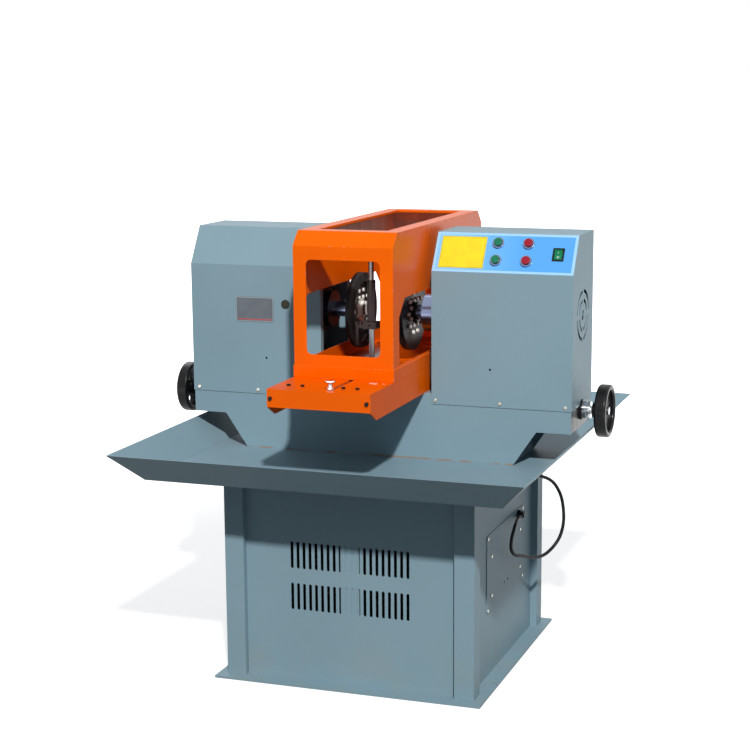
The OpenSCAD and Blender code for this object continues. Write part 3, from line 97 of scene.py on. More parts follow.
def daylight(red, green, blue):
    """A colour as it shows in daylight, from 0 to 255."""
    def linear(value):
        share = value / 255
        return share / 12.92 if share <= 0.04045 else ((share + 0.055) / 1.055) ** 2.4
    return (linear(red), linear(green), linear(blue), 1)


class Flow:
    """A socket of a material. Arithmetic on it adds Math nodes."""

    def __init__(self, finish, socket):
        self.finish = finish
        self.socket = socket

    def math(self, operation, *others):
        return self.finish.node("ShaderNodeMath", {"operation": operation}, dict(enumerate((self, *others))))

    def __add__(self, other):
        return self.math("ADD", other)

    def __sub__(self, other):
        return self.math("SUBTRACT", other)

    def __rsub__(self, other):
        return self.finish.node("ShaderNodeMath", {"operation": "SUBTRACT"}, {0: other, 1: self})

    def __mul__(self, other):
        return self.math("MULTIPLY", other)

    def __truediv__(self, other):
        return self.math("DIVIDE", other)

    def __pow__(self, other):
        return self.math("POWER", other)

    __radd__ = __add__
    __rmul__ = __mul__

    def rise(self, low, high):
        """Goes smoothly from 0 at low to 1 at high."""
        return self.finish.node("ShaderNodeMapRange", {"interpolation_type": "SMOOTHSTEP"},
                                {"Value": self, "From Min": low, "From Max": high})


class Finish:
    """One material, its Principled shader and the nodes that feed it."""

    def __init__(self, name, colour, roughness=0.5, metallic=0.0, coat=0.0, gloss=0.5):
        self.material = bpy.data.materials.new(name)
        self.material.use_nodes = True
        self.material.diffuse_color = colour
        self.tree = self.material.node_tree
        self.shader = self.tree.nodes["Principled BSDF"]
        self.feed("Base Color", colour)
        self.feed("Roughness", roughness)
        self.feed("Metallic", metallic)
        self.feed("Coat Weight", coat)
        self.feed("Specular IOR Level", gloss)
        self.places = self.node("ShaderNodeTexCoord", output="Object")

    def feed(self, name, value, node=None):
        """Links a Flow to an input of the shader or of another node, or sets the input to a value."""
        socket = (node or self.shader).inputs[name]
        if isinstance(value, Flow):
            self.tree.links.new(value.socket, socket)
        else:
            socket.default_value = value

    def node(self, kind, settings=None, values=None, output=0):
        """Adds a node and returns one of its outputs."""
        made = self.tree.nodes.new(kind)
        for name, value in (settings or {}).items():
            setattr(made, name, value)
        for name, value in (values or {}).items():
            self.feed(name, value, made)
        return Flow(self, made.outputs[output])

    def noise(self, scale, detail, stretch=(1, 1, 1)):
        """Cloudy pattern from 0 to 1, with scale features to a metre."""
        places = self.node("ShaderNodeMapping", {}, {"Vector": self.places, "Scale": stretch})
        return self.node("ShaderNodeTexNoise", {}, {"Vector": places, "Scale": scale, "Detail": detail})

    def cells(self, scale):
        """Distance from the middles of rounded cells, with scale cells to a metre."""
        return self.node("ShaderNodeTexVoronoi", {}, {"Vector": self.places, "Scale": scale}, "Distance")

    def axis(self, letter):
        """Place along the machine's X, Y or Z axis, in metres."""
        return self.node("ShaderNodeSeparateXYZ", {}, {0: self.places}, letter)

    def mix(self, low, high, share):
        """A colour between low, where share is 0, and high, where it is 1."""
        made = self.tree.nodes.new("ShaderNodeMix")
        made.data_type = "RGBA"
        for index, value in ((0, share), (6, low), (7, high)):
            self.feed(index, value, made)
        return Flow(self, made.outputs[2])

    def bump(self, height, depth, strength=1.0):
        """Raises the surface by depth metres where height is 1."""
        normal = self.node("ShaderNodeBump", {}, {"Height": height, "Distance": depth, "Strength": strength})
        self.feed("Normal", normal)

    def radius_about(self, x=None, y=None, z=None):
        """Distance from an axis through the places that are given, along the axis that is left out."""
        squares = [(self.axis(letter) - place) ** 2 for letter, place in (("X", x), ("Y", y), ("Z", z))
                   if place is not None]
        return (squares[0] + squares[1]).math("SQRT")

    def edge(self):
        """1 on the rounded edges that round_edges has marked, and 0 elsewhere."""
        return self.node("ShaderNodeAttribute", {"attribute_name": "edge"}, {}, "Fac")

    def worn_edges(self, amount=0.55, grain=140):
        """Share of wear, from 0 to 1, on the rounded edges."""
        return self.edge() * self.noise(grain, 4).rise(0.62 - 0.1 * amount, 0.72) * amount


def shaded(colour, factor, lift=0.0):
    """A colour made darker or lighter by a factor."""
    return tuple(min(1, c * factor + lift) for c in colour[:3]) + (1,)


# Gloss is low, as the machine stands under an open sky. Depths are those of the fine relief in a surface
paint_gloss, powder_gloss, plastic_gloss = 0.12, 0.08, 0.15
orange_peel_depth = 0.12 * MM
powder_peel_depth = 0.10 * MM
plastic_grain_depth = 0.04 * MM
enamel_grain_depth = 0.08 * MM
sheath_grain_depth = 0.06 * MM
brush_depth = 0.03 * MM
lathe_pitch, lathe_depth = 1.1 * MM, 0.04 * MM
grit_depth = 0.6 * MM
sand_depth = 0.4 * MM
lining_depth = 0.2 * MM
print_depth = 0.03 * MM
rust_height = 5 * MM
dust_height = 0.22


def sheet_paint(name, colour, tone=0.05, roughness=0.40, primer=(176, 182, 184), dirt=0.25, foot_z=None):
    """Sprayed machine paint: cloudy tone, fine orange peel, some dust, chipped edges, rust at its foot."""
    paint = Finish(name, colour, roughness, gloss=paint_gloss)
    cloud = paint.noise(2.6, 4)
    fine = paint.noise(38, 5)
    tinted = paint.mix(shaded(colour, 1 - tone), shaded(colour, 1 + tone),
                       cloud.rise(0.3, 0.7) * 0.7 + fine * 0.3)
    low_dust = (1 - paint.axis("Z").rise(0.0, dust_height)) * paint.noise(9, 6).rise(0.42, 0.75) * dirt
    dusty = paint.mix(tinted, daylight(150, 146, 134), low_dust)
    streak = paint.noise(14, 5, stretch=(1, 1, 0.12)).rise(0.66, 0.86) * dirt * 0.5
    streaked = paint.mix(dusty, shaded(colour, 0.72), streak)
    wear = paint.worn_edges()
    if foot_z is not None:
        foot = 1 - paint.axis("Z").rise(foot_z + rust_height * 0.5, foot_z + rust_height)
        rust = foot * paint.noise(30, 5).rise(0.40, 0.62)
        streaked = paint.mix(streaked, daylight(150, 112, 82), rust * 0.8)
    paint.feed("Base Color", paint.mix(streaked, daylight(*primer), wear))
    paint.feed("Roughness", roughness + fine * 0.10 + low_dust * 0.5 + wear * 0.15)
    paint.bump(paint.noise(420, 2) * 0.6 + paint.noise(90, 2) * 0.4, orange_peel_depth, 0.5)
    return paint.material


def glossy_coat(name, colour, deep, roughness=0.26, primer=(222, 190, 160), glint=None, darkened=None):
    """Gloss powder coat with a faint peel and pale chips on the edges.

    Its marks are a painted highlight, a pale patch about a given place, and a dark film over a given place
    and reach.
    """
    coat = Finish(name, colour, roughness, gloss=powder_gloss)
    cloud = coat.noise(3.2, 4).rise(0.32, 0.72)
    scuffs = coat.noise(60, 6, stretch=(1, 0.25, 1)).rise(0.64, 0.78)
    wear = coat.worn_edges(0.6, 110)
    toned = coat.mix(deep, colour, cloud)
    film = 0
    # A dark reddish film over the hood's footprint on the table top
    if darkened:
        (x, y), (reach_x, reach_y) = darkened
        across = ((coat.axis("X") - x) / reach_x).math("ABSOLUTE")
        along = ((coat.axis("Y") - y) / reach_y).math("ABSOLUTE")
        film = (1 - across.math("MAXIMUM", along).rise(0.9, 1.0)) * coat.noise(9, 5).rise(0.28, 0.50)
        toned = coat.mix(toned, daylight(58, 30, 22), film * 0.85)
    # Painted highlight: a pale streaky patch on the table top, about the given place
    if glint:
        (x, y), (reach_x, reach_y) = glint
        patch = ((coat.axis("X") - x) / reach_x) ** 2 + ((coat.axis("Y") - y) / reach_y) ** 2
        glint_share = (1 - patch.rise(0.5, 1.0)) * coat.noise(75, 4, stretch=(1, 0.3, 1)).rise(0.43, 0.51)
        toned = coat.mix(toned, daylight(248, 226, 214), glint_share)
    coat.feed("Base Color", coat.mix(toned, daylight(*primer), wear))
    coat.feed("Roughness", roughness + scuffs * 0.16 + cloud * 0.04 - film * 0.12)
    coat.bump(coat.noise(260, 2) * 0.7 + scuffs * 0.3, powder_peel_depth, 0.5)
    return coat.material


def moulded(name, colour, roughness, coat=0.0, grain=900, depth=plastic_grain_depth):
    """Moulded plastic or enamel with a fine grain and faint smears."""
    plastic = Finish(name, colour, roughness, coat=coat, gloss=plastic_gloss)
    smear = plastic.noise(30, 5).rise(0.35, 0.75)
    share = smear * 0.6 + plastic.edge() * 0.3
    plastic.feed("Base Color", plastic.mix(colour, shaded(colour, 1.25, 0.004), share))
    plastic.feed("Roughness", roughness + smear * 0.10)
    plastic.bump(plastic.noise(grain, 2), depth, 0.6)
    return plastic.material


def bright_metal(name, colour, roughness, brush=(1, 1, 1), scale=120, stain=0.12):
    """Polished, plated or ground metal. The brush stretches its marks along an axis."""
    metal = Finish(name, colour, roughness, metallic=1.0)
    marks = metal.noise(scale, 6, stretch=brush)
    haze = metal.noise(16, 5).rise(0.4, 0.8)
    dull = shaded(colour, 1 - stain * 2.2)
    metal.feed("Base Color", metal.mix(colour, dull, haze * 0.7 + marks.rise(0.55, 0.8) * 0.3))
    metal.feed("Roughness", roughness + haze * stain + marks * 0.10)
    metal.bump(marks, brush_depth, 0.5)
    return metal.material


def turned_metal(name, colour, roughness, metallic, axis_y, axis_z):
    """Metal or paint over rings that a lathe left about an axis along X."""
    metal = Finish(name, colour, roughness, metallic=metallic, gloss=plastic_gloss)
    radius = metal.radius_about(y=axis_y, z=axis_z)
    rings = (radius * (2 * math.pi / lathe_pitch)).math("SINE") * 0.5 + 0.5
    smear = metal.noise(24, 5).rise(0.35, 0.75)
    share = smear * 0.35 + rings * 0.15 + metal.edge() * 0.4
    metal.feed("Base Color", metal.mix(colour, shaded(colour, 1.7, 0.012), share))
    metal.feed("Roughness", roughness + smear * 0.16)
    metal.bump(rings, lathe_depth, 0.6)
    return metal.material


def grit(name, colour):
    """Coarse bonded abrasive: dark bond with pale and brown grains."""
    stone = Finish(name, colour, 0.85)
    grains = stone.cells(620)
    speck = stone.noise(700, 3).rise(0.60, 0.72)
    brown = stone.mix(colour, daylight(44, 39, 36), stone.noise(40, 5).rise(0.4, 0.75))
    stone.feed("Base Color", stone.mix(brown, daylight(104, 100, 96), speck * 0.5))
    stone.feed("Roughness", 0.9 - speck * 0.35)
    stone.bump(grains + stone.noise(300, 4), grit_depth, 0.8)
    return stone.material


def rough_casting(name, colour):
    """Bare cast iron with the sand's marks."""
    iron = Finish(name, colour, 0.55, metallic=0.35)
    sand = iron.noise(260, 5)
    iron.feed("Base Color", iron.mix(colour, shaded(colour, 1.8), sand.rise(0.45, 0.8)))
    iron.feed("Roughness", 0.45 + sand * 0.25)
    iron.bump(sand + iron.noise(60, 4), sand_depth, 0.6)
    return iron.material


def lining_sheet(name):
    """Dull beige sheet with faint upright streaks and specks, its colour lifted near white as painted light
    where the hood's flange shades it.
    """
    lining = Finish(name, daylight(226, 219, 205), 0.62)
    streak = lining.noise(26, 5, stretch=(1, 1, 0.2))
    speck = lining.noise(340, 4).rise(0.55, 0.75)
    tone = lining.mix(daylight(214, 206, 190), daylight(240, 234, 222), streak.rise(0.3, 0.7))
    lining.feed("Base Color", lining.mix(tone, daylight(178, 170, 154), speck * 0.6))
    lining.feed("Roughness", 0.55 + streak * 0.2)
    lining.bump(speck + streak * 0.5, lining_depth, 0.5)
    return lining.material


# Control panel: its place on the slope of the right cover, and its notice field, which stands proud
panel_low, panel_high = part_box("control_panel")
panel_width = panel_high.x - panel_low.x
panel_mesh = frame["nodes"]["control_panel"].data
slope_out = max(panel_mesh.polygons, key=lambda face: face.area).normal.copy()
if slope_out.z < 0:
    slope_out.negate()
slope_vector = Vector((0, slope_out.z, -slope_out.y))
notice_proud = 0.4 * MM
notice_level = max(corner.co.dot(slope_out) for corner in panel_mesh.vertices) - notice_proud
notice_corners = [corner.co for corner in panel_mesh.vertices if corner.co.dot(slope_out) > notice_level]
notice_low = Vector([min(corner[i] for corner in notice_corners) for i in range(3)])
notice_high = Vector([max(corner[i] for corner in notice_corners) for i in range(3)])
panel_border = 7 * MM
print_blur = 0.4 * MM
rule_blur = 0.2 * MM
band_blur = 0.3 * MM


def panel_foil(name):
    """Blue foil with a paler border, and a tone that deepens to the right."""
    foil = Finish(name, daylight(92, 172, 238), 0.30, coat=0.2)
    x = foil.axis("X")
    along = (foil.axis("Y") - panel_low.y) * slope_vector.y + (foil.axis("Z") - panel_low.z) * slope_vector.z
    height = (panel_high - panel_low).dot(slope_vector)
    inside_x = (x - panel_low.x).math("MINIMUM", panel_high.x - x)
    inside = inside_x.math("MINIMUM", along.math("MINIMUM", height - along))
    field = inside.rise(panel_border - print_blur, panel_border + print_blur)
    cloudy = (x - panel_low.x) / panel_width + (foil.noise(5, 2) * 0.25 - 0.12)
    tone = foil.mix(daylight(120, 187, 238), daylight(74, 155, 226), cloudy.rise(0.0, 0.75))
    foil.feed("Base Color", foil.mix(daylight(150, 199, 238), tone, field))
    foil.feed("Roughness", 0.26 + foil.noise(80, 4) * 0.14)
    foil.bump(foil.noise(500, 2), print_depth, 0.4)
    return foil.material


def bordered_plate(name, corners, colour, line, edge_gap, line_width, band=None):
    """A blank enamelled plate with a ruled border, and a coloured line near its foot."""
    plate = Finish(name, colour, 0.32)
    low, high = corners
    x, z = plate.axis("X"), plate.axis("Z")
    across = (x - low.x).math("MINIMUM", high.x - x)
    upright = (z - low.z).math("MINIMUM", high.z - z)
    share = (high.z - low.z) / ((high - low) - Vector((high.x - low.x, 0, 0))).length
    inside = across.math("MINIMUM", upright / share)
    ruled = inside.rise(edge_gap, edge_gap + rule_blur)
    ruled = ruled * (1 - inside.rise(edge_gap + line_width, edge_gap + line_width + rule_blur))
    smear = plate.noise(36, 4).rise(0.3, 0.75)
    toned = plate.mix(colour, shaded(colour, 0.86), smear)
    if band:
        band_colour, band_low, band_high, band_inset = band
        in_band = z.rise(low.z + band_low, low.z + band_low + band_blur)
        in_band = in_band * (1 - z.rise(low.z + band_high, low.z + band_high + band_blur))
        in_band = in_band * across.rise(band_inset, band_inset + band_blur)
        toned = plate.mix(toned, band_colour, in_band)
    plate.feed("Base Color", plate.mix(toned, line, ruled))
    plate.feed("Roughness", 0.28 + smear * 0.12)
    plate.bump(plate.noise(400, 2), print_depth, 0.4)
    return plate.material


spindle_z = sum(corner.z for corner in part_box("spindle_right")) / 2
bed_foot_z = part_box("bed_sides")[0].z
hood_low, hood_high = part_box("hood_shell")

grey_blue = daylight(126, 152, 164)
orange_face = daylight(240, 100, 0)
orange_deep = daylight(228, 92, 0)

# Marks on the feed table, as places in X and Y with their reach: a painted highlight, and a dark film under
# the hood
table_glint = ((0.100, -0.376), (0.024, 0.012))
dark_patch_margin_x, dark_patch_margin_y = 6 * MM, 14 * MM
table_dark_patch = ((0, (hood_low.y + hood_high.y) / 2),
             (hood_high.x - dark_patch_margin_x, (hood_high.y - hood_low.y) / 2 - dark_patch_margin_y))

# Ruled borders of the two plates: their distance from the edge and their width, and the nameplate's band
notice_rule = (1.6 * MM, 0.7 * MM)
nameplate_rule = (0.8 * MM, 1.6 * MM)
nameplate_band = (daylight(176, 60, 66), 5 * MM, 7.5 * MM, 6 * MM)

# Stretch of brush marks that run along X, and along Z
along_x, along_z = (0.05, 1, 1), (1, 1, 0.06)

finishes = {
    "blue_grey_paint": sheet_paint("blue_grey_paint", grey_blue),
    "bed_paint": sheet_paint("bed_paint", grey_blue, foot_z=bed_foot_z),
    "orange_paint": glossy_coat("orange_paint", orange_face, orange_deep),
    "table_paint": glossy_coat("table_paint", orange_face, orange_deep, glint=table_glint, darkened=table_dark_patch),
    "black_enamel": moulded("black_enamel", daylight(12, 13, 15), 0.30, coat=0.12, grain=220,
                            depth=enamel_grain_depth),
    "black_disc": turned_metal("black_disc", daylight(30, 28, 30), 0.34, 0.4, 0, spindle_z),
    "dark_iron": rough_casting("dark_iron", daylight(70, 74, 78)),
    "ground_steel": bright_metal("ground_steel", daylight(172, 174, 176), 0.24, along_x, scale=260),
    "chrome": bright_metal("chrome", daylight(214, 216, 220), 0.07, stain=0.06),
    "satin_steel": bright_metal("satin_steel", daylight(150, 150, 152), 0.30, along_z, scale=300),
    "brown_steel": bright_metal("brown_steel", daylight(60, 52, 52), 0.36, along_z, scale=300),
    "zinc": bright_metal("zinc", daylight(206, 202, 188), 0.30, stain=0.15),
    # Chrome darkened and tinted blue: painted reflection of the blue-grey surroundings and painted shade, on
    # the drums and the button bezels
    "chrome_painted_reflection": bright_metal("chrome_painted_reflection", daylight(138, 148, 178), 0.14, stain=0.12),
    # Disc screws: a pale non-metal colour as painted glints, for bright screw heads that lie in the hood's
    # shade
    "screw_painted_glint": moulded("screw_painted_glint", daylight(238, 236, 228), 0.25, coat=0.4),
    "bronze": bright_metal("bronze", daylight(186, 140, 70), 0.28),
    "grit": grit("grit", daylight(20, 19, 20)),
    "cable_sheath": moulded("cable_sheath", daylight(24, 25, 27), 0.42, grain=1400,
                            depth=sheath_grain_depth),
    "black_plastic": moulded("black_plastic", daylight(22, 22, 22), 0.38),
    "lining": lining_sheet("lining"),
    "panel_foil": panel_foil("panel_foil"),
    "green_cap": moulded("green_cap", daylight(12, 108, 78), 0.22, coat=0.3),
    "rocker_green": moulded("rocker_green", daylight(8, 108, 70), 0.24),
    "red_cap": moulded("red_cap", daylight(146, 12, 38), 0.22, coat=0.3),
    "pale_mark": moulded("pale_mark", daylight(214, 232, 222), 0.4),
    "olive_glass": moulded("olive_glass", daylight(26, 28, 8), 0.20, coat=0.1),
    "notice": bordered_plate("notice", (notice_low, notice_high), daylight(236, 210, 18),
                             daylight(60, 54, 16), *notice_rule),
    "nameplate": bordered_plate("nameplate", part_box("blank_nameplate"), daylight(84, 92, 100),
                                daylight(150, 158, 164), *nameplate_rule, nameplate_band),
}


def put_finish(item, *names):
    """Gives an object its finishes, in the order of its faces' material index."""
    item.data.materials.clear()
    for name in names:
        item.data.materials.append(finishes[name])


weld_distance = 0.002 * MM
flat_angle = math.radians(0.6)
bend_angle = math.radians(24)
smooth_angle = math.radians(40)
round_steps = 2


def new_piece(name, mesh, body, slot, *finish_names):
    """Makes a finished object of a bmesh that is already in its place."""
    data = bpy.data.meshes.new(name)
    mesh.to_mesh(data)
    mesh.free()
    item = bpy.data.objects.new(name, data)
    bpy.context.collection.objects.link(item)
    put_finish(item, *finish_names)
    data.set_sharp_from_angle(angle=smooth_angle)
    weighted = item.modifiers.new("even_shading", "WEIGHTED_NORMAL")
    weighted.keep_sharp = True
    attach(item, body)
    return item


def round_edges(mesh, width):
    """Rounds every edge that bends, and marks the new faces for wear."""
    edge_mark = mesh.faces.layers.float.new("edge")
    sharp = [edge for edge in mesh.edges if edge.is_manifold and edge.calc_face_angle(0) > bend_angle]
    made = bmesh.ops.bevel(mesh, geom=sharp, offset=width, offset_type="OFFSET", affect="EDGES",
                           segments=round_steps, profile=0.5, material=-1, clamp_overlap=True)
    for face in made["faces"]:
        face[edge_mark] = 1


def soft_copy(node, width, *finish_names):
    """Shows a CAD node with its edges rounded, as bent, cast or painted edges are."""
    mesh = bmesh.new()
    mesh.from_mesh(frame["nodes"][node].data)
    bmesh.ops.remove_doubles(mesh, verts=mesh.verts, dist=weld_distance)
    bmesh.ops.dissolve_limit(mesh, angle_limit=flat_angle, verts=mesh.verts, edges=mesh.edges)
    round_edges(mesh, width)
    for face in mesh.faces:
        face.smooth = True
        face.material_index = 0
    item = new_piece(node + "_shown", mesh, body_of_node[node], slot_of_node[node], *finish_names)
    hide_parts(node)
    return item


def plain_finish(node, finish_name):
    """Shows a CAD node as it is."""
    put_finish(frame["nodes"][node], finish_name)


def turned(outline, steps):
    """A bmesh that spins an outline of (along, radius) pairs about Z."""
    mesh = bmesh.new()
    points = [mesh.verts.new((radius, 0, along)) for along, radius in outline]
    lines = [mesh.edges.new(pair) for pair in zip(points, points[1:])]
    bmesh.ops.spin(mesh, geom=points + lines, cent=(0, 0, 0), axis=UP, dvec=(0, 0, 0),
                   angle=2 * math.pi, steps=steps, use_merge=True)
    bmesh.ops.remove_doubles(mesh, verts=mesh.verts, dist=weld_distance)
    bmesh.ops.recalc_face_normals(mesh, faces=mesh.faces)
    for face in mesh.faces:
        face.smooth = True
    return mesh


def circle(centre, radius, steps):
    """Points of a circle in an outline. The last one lies on the first."""
    angles = [2 * math.pi * i / steps for i in range(steps + 1)]
    return [(centre[0] + radius * math.cos(a), centre[1] + radius * math.sin(a)) for a in angles]


def join(meshes):
    """One bmesh of several."""
    whole = bmesh.new()
    for mesh in meshes:
        part = bpy.data.meshes.new("part")
        mesh.to_mesh(part)
        mesh.free()
        whole.from_mesh(part)
        bpy.data.meshes.remove(part)
    return whole


# Motor cable, on the same route as its solid
cable_diameter = 9 * MM
cable_route_mm = [
    (333, 121, 371), (333, 110, 371), (334, 94, 372), (336, 76, 373), (338, 58, 374),
    (341, 39, 373), (343, 20, 370), (344, 4, 362), (343, -8, 349), (342, -15, 334),
    (342, -16, 318), (344, -9, 304), (348, 5, 293), (353, 26, 286), (358, 49, 279),
    (364, 75, 270), (372, 102, 262), (381, 130, 257), (391, 155, 258), (401, 175, 266),
    (411, 190, 279), (420, 199, 296), (426, 205, 317), (429, 208, 340), (429, 208, 364),
    (427, 206, 388), (423, 202, 411), (416, 194, 433), (407, 181, 453), (396, 163, 468),
    (384, 143, 478), (374, 126, 486), (366, 111, 495), (359, 99, 504), (354, 90, 514),
    (352, 85, 524), (352, 84, 531), (352, 84, 538),
]


def add_cable():
    """The motor cable, from the gland on the access cover to the gland under the tray."""
    curve = bpy.data.curves.new("motor_cable_shown", "CURVE")
    curve.dimensions = "3D"
    curve.bevel_depth = cable_diameter / 2
    curve.bevel_resolution = 5
    curve.resolution_u = 6
    curve.use_fill_caps = True
    spline = curve.splines.new("BEZIER")
    spline.bezier_points.add(len(cable_route_mm) - 1)
    for point, place in zip(spline.bezier_points, cable_route_mm):
        point.co = Vector(place) * MM
        point.handle_left_type = point.handle_right_type = "AUTO"
    cable = bpy.data.objects.new("motor_cable_shown", curve)
    bpy.context.collection.objects.link(cable)
    curve.materials.append(finishes["cable_sheath"])
    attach(cable, "frame")
    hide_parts("motor_cable")


# Floor, white backdrop and light: a low sun at the right front under a pale sky, with two weak fill lamps
floor_size = 60
floor_colour = daylight(176, 177, 178)
floor_bounce_and_shade = daylight(74, 75, 76)
floor_glow = 0.72
floor_fade = (1.3, 3.6)
sky_colour = (0.86, 0.93, 1.0, 1)
sky_strength = 0.24
sun_azimuth = 24.5
sun_elevation = 38.6
sun_distance = 12.0
sun_size = 0.5
sun_power = 1560
sun_colour = (1.0, 0.985, 0.96)
floor_drop = 0.5 * MM
footprint_fade = (0.93, 0.97)
lamp_aim = Vector((0, 0, 0.75))
side_fill = {"place": (4.4, 0.4, 1.3), "size": (2.6, 2.0), "power": 8, "colour": (1.0, 0.95, 0.90)}
back_fill = {"place": (-3.2, 3.4, 4.4), "size": (3.4, 2.6), "power": 60, "colour": (0.95, 0.97, 1.0)}


def sees_background(nodes, links):
    """1 for the camera and for rays that metal or glass sends on, and 0 for the light on the object."""
    path = nodes.new("ShaderNodeLightPath")
    total = path.outputs["Is Camera Ray"]
    for kind in ("Is Glossy Ray", "Is Transmission Ray"):
        add = nodes.new("ShaderNodeMath")
        add.operation = "MAXIMUM"
        links.new(total, add.inputs[0])
        links.new(path.outputs[kind], add.inputs[1])
        total = add.outputs[0]
    return total


def add_stage():
    """A pale floor, with painted shade inside the cabinet's footprint, and a sky that the camera sees as
    white.
    """
    mesh = bmesh.new()
    bmesh.ops.create_grid(mesh, x_segments=1, y_segments=1, size=floor_size / 2)
    data = bpy.data.meshes.new("floor")
    mesh.to_mesh(data)
    mesh.free()
    floor = bpy.data.objects.new("floor", data)
    floor.location.z = -floor_drop
    bpy.context.collection.objects.link(floor)
    ground = Finish("pale_floor", floor_colour, 0.9)
    ground.shader.inputs["Emission Color"].default_value = (1, 1, 1, 1)
    distance = ground.radius_about(x=0, y=0)
    cabinet_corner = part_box("cabinet_frame")[1]
    share_x = ground.axis("X").math("ABSOLUTE") / cabinet_corner.x
    share_y = ground.axis("Y").math("ABSOLUTE") / cabinet_corner.y
    # Painted shade: inside the cabinet's footprint the camera sees the dark floor colour, without the glow
    outside = share_x.math("MAXIMUM", share_y).rise(*footprint_fade)
    seen = Flow(ground, sees_background(ground.tree.nodes, ground.tree.links)) * outside
    ground.feed("Base Color", ground.mix(floor_bounce_and_shade, floor_colour, seen))
    ground.feed("Emission Strength", seen * (distance.rise(*floor_fade) + floor_glow))
    floor.data.materials.append(ground.material)

    world = bpy.data.worlds.new("studio")
    world.use_nodes = True
    nodes, links = world.node_tree.nodes, world.node_tree.links
    sky = nodes["Background"]
    sky.inputs["Color"].default_value = sky_colour
    sky.inputs["Strength"].default_value = sky_strength
    white = nodes.new("ShaderNodeBackground")
    white.inputs["Color"].default_value = (1, 1, 1, 1)
    mix = nodes.new("ShaderNodeMixShader")
    links.new(sees_background(nodes, links), mix.inputs["Fac"])
    links.new(sky.outputs["Background"], mix.inputs[1])
    links.new(white.outputs["Background"], mix.inputs[2])
    links.new(mix.outputs["Shader"], nodes["World Output"].inputs["Surface"])
    bpy.context.scene.world = world


def add_lamp(name, place, size, power, colour):
    """An area lamp that shines on the machine's middle."""
    lamp = bpy.data.lights.new(name, "AREA")
    lamp.shape = "RECTANGLE"
    lamp.size, lamp.size_y = size
    lamp.energy = power
    lamp.color = colour
    item = bpy.data.objects.new(name, lamp)
    item.location = place
    item.rotation_euler = (lamp_aim - Vector(place)).to_track_quat("-Z", "Y").to_euler()
    bpy.context.collection.objects.link(item)


def add_lamps():
    """The sun and the two fill lamps."""
    sun_place = lamp_aim + towards(sun_azimuth, sun_elevation) * sun_distance
    add_lamp("sun", sun_place, (sun_size, sun_size), sun_power, sun_colour)
    add_lamp("side_fill", **side_fill)
    add_lamp("back_fill", **back_fill)


def add_sheet_metal():
    """Painted sheet and plate, with the roundness of their bends and edges."""
    for node in ("cover_left", "cover_right"):
        soft_copy(node, 0.6 * MM, "blue_grey_paint")
    for node, width in (("chip_tray", 0.4), ("tray_rim", 0.8), ("base_flange", 1.0), ("cabinet_frame", 1.2),
                        ("bed_frame", 0.8), ("front_rear_panels", 0.4), ("side_panels", 0.5),
                        ("access_cover", 0.7)):
        soft_copy(node, width * MM, "blue_grey_paint")
    soft_copy("bed_sides", 1.0 * MM, "bed_paint")
    soft_copy("hood_shell", 0.8 * MM, "orange_paint")
    soft_copy("feed_table", 0.8 * MM, "table_paint")
    soft_copy("hood_liner", 0.3 * MM, "lining")


def add_inner_works():
    """Everything inside the covers, the bed and the cabinet, and the brackets of the feed screws."""
    for side in ("left", "right"):
        soft_copy("saddle_" + side, 1.2 * MM, "dark_iron")
        soft_copy("headstock_" + side, 1.5 * MM, "dark_iron")
        soft_copy("motor_" + side, 0.5 * MM, "blue_grey_paint")
        plain_finish("feed_nut_" + side, "bronze")
        plain_finish("bearings_" + side, "ground_steel")
        plain_finish("feed_screw_" + side, "ground_steel")
    plain_finish("slide_ways", "ground_steel")
    plain_finish("table_rails", "ground_steel")
    plain_finish("contactor_panel", "zinc")
    soft_copy("feed_bar", 0.5 * MM, "ground_steel")
    soft_copy("screw_brackets", 1.0 * MM, "black_enamel")


end_face_share = 0.9


def add_wheels_and_discs():
    """Discs, spindles with bright drums and dark end faces, handwheels and their dials."""
    for side in ("left", "right"):
        soft_copy("backing_disc_" + side, 0.8 * MM, "black_disc")
        soft_copy("abrasive_ring_" + side, 0.6 * MM, "grit")
        soft_copy("disc_screws_" + side, 0.6 * MM, "screw_painted_glint")
        spindle = soft_copy("spindle_" + side, 0.5 * MM, "chrome_painted_reflection", "black_disc")
        for face in spindle.data.polygons:
            face.material_index = int(abs(face.normal.x) > end_face_share)
        soft_copy("handwheel_" + side, 0.8 * MM, "black_enamel")
        soft_copy("dial_" + side, 0.5 * MM, "chrome")


# Marks on the rocker switch: a ring on its lower half and a bar on its upper half
mark_height = 0.25 * MM
bar_width, bar_length, bar_rounding = 1.2 * MM, 5.5 * MM, 0.2 * MM
ring_radius, ring_line = 2.6 * MM, 0.5 * MM


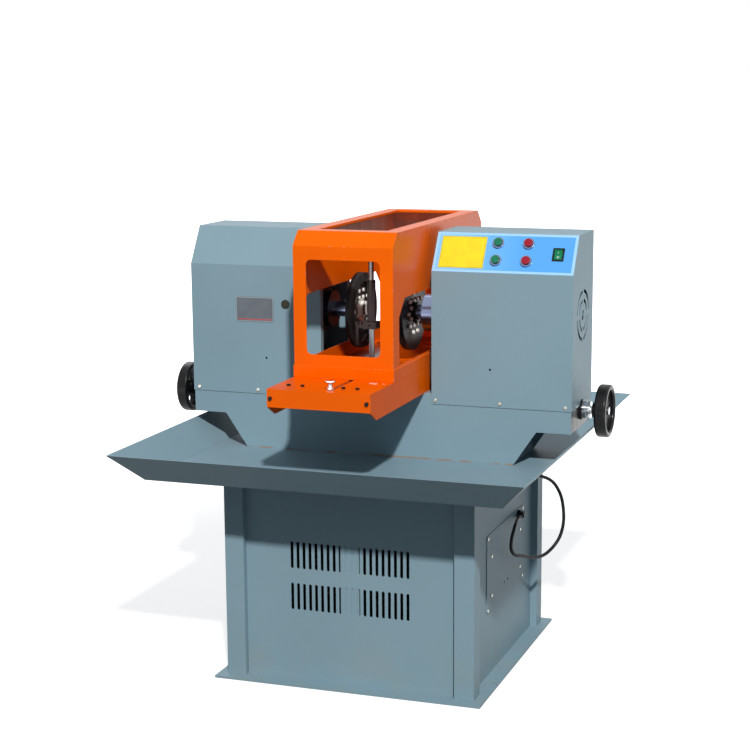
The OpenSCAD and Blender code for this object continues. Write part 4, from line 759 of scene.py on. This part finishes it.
def add_rocker_marks():
    """A ring and a bar, half sunk in the two faces of the rocker switch."""
    mesh = frame["nodes"]["rocker_switch"].data
    faces = sorted((face for face in mesh.polygons if face.normal.dot(slope_out) > end_face_share),
                   key=lambda face: face.center.dot(slope_vector))
    ring = turned(circle((0, ring_radius), ring_line, steps=10), steps=40)
    bar = bmesh.new()
    bmesh.ops.create_cube(bar, size=1, matrix=Matrix.Diagonal((bar_width, bar_length, 2 * mark_height, 1)))
    bmesh.ops.bevel(bar, geom=list(bar.edges), offset=bar_rounding, offset_type="OFFSET", affect="EDGES",
                    segments=round_steps, profile=0.5, material=-1)
    for mark, half in ((ring, faces[:len(faces) // 2]), (bar, faces[len(faces) // 2:])):
        area = sum(face.area for face in half)
        out = half[0].normal
        across = Vector((1, 0, 0))
        place = Matrix((across, out.cross(across), out)).transposed().to_4x4()
        place.translation = sum((face.center * face.area for face in half), Vector()) / area
        bmesh.ops.transform(mark, matrix=place, verts=mark.verts)
    new_piece("rocker_marks", join([ring, bar]), "rocker_switch", "green_plastic", "pale_mark")


def add_controls():
    """Control panel with its notice field, plates, plug, push buttons and rocker switch."""
    panel = soft_copy("control_panel", 0.15 * MM, "panel_foil", "notice")
    for face in panel.data.polygons:
        face.material_index = int(face.center.dot(slope_out) > notice_level)
    soft_copy("blank_nameplate", 0.25 * MM, "nameplate")
    soft_copy("sight_plug", 0.4 * MM, "olive_glass")
    soft_copy("button_bezels", 0.5 * MM, "chrome_painted_reflection")
    soft_copy("rocker_bezel", 0.5 * MM, "black_plastic")
    soft_copy("rocker_switch", 0.5 * MM, "rocker_green")
    add_rocker_marks()
    for colour, word in (("green_cap", "start"), ("red_cap", "stop")):
        for level in ("upper", "lower"):
            soft_copy("%s_button_%s" % (word, level), 0.5 * MM, colour)


def add_fittings():
    """Screws, glands, the clamping knob, and the post with its arm."""
    soft_copy("panel_screws", 0.3 * MM, "zinc")
    soft_copy("table_screws", 0.4 * MM, "black_plastic")
    soft_copy("cable_glands", 0.5 * MM, "black_plastic")
    soft_copy("clamp_knob", 0.5 * MM, "chrome")
    soft_copy("rest_post", 0.8 * MM, "satin_steel")
    soft_copy("work_arm", 0.8 * MM, "brown_steel")


add_camera()
add_cable()
add_stage()
add_lamps()
add_sheet_metal()
add_inner_works()
add_wheels_and_discs()
add_controls()
add_fittings()
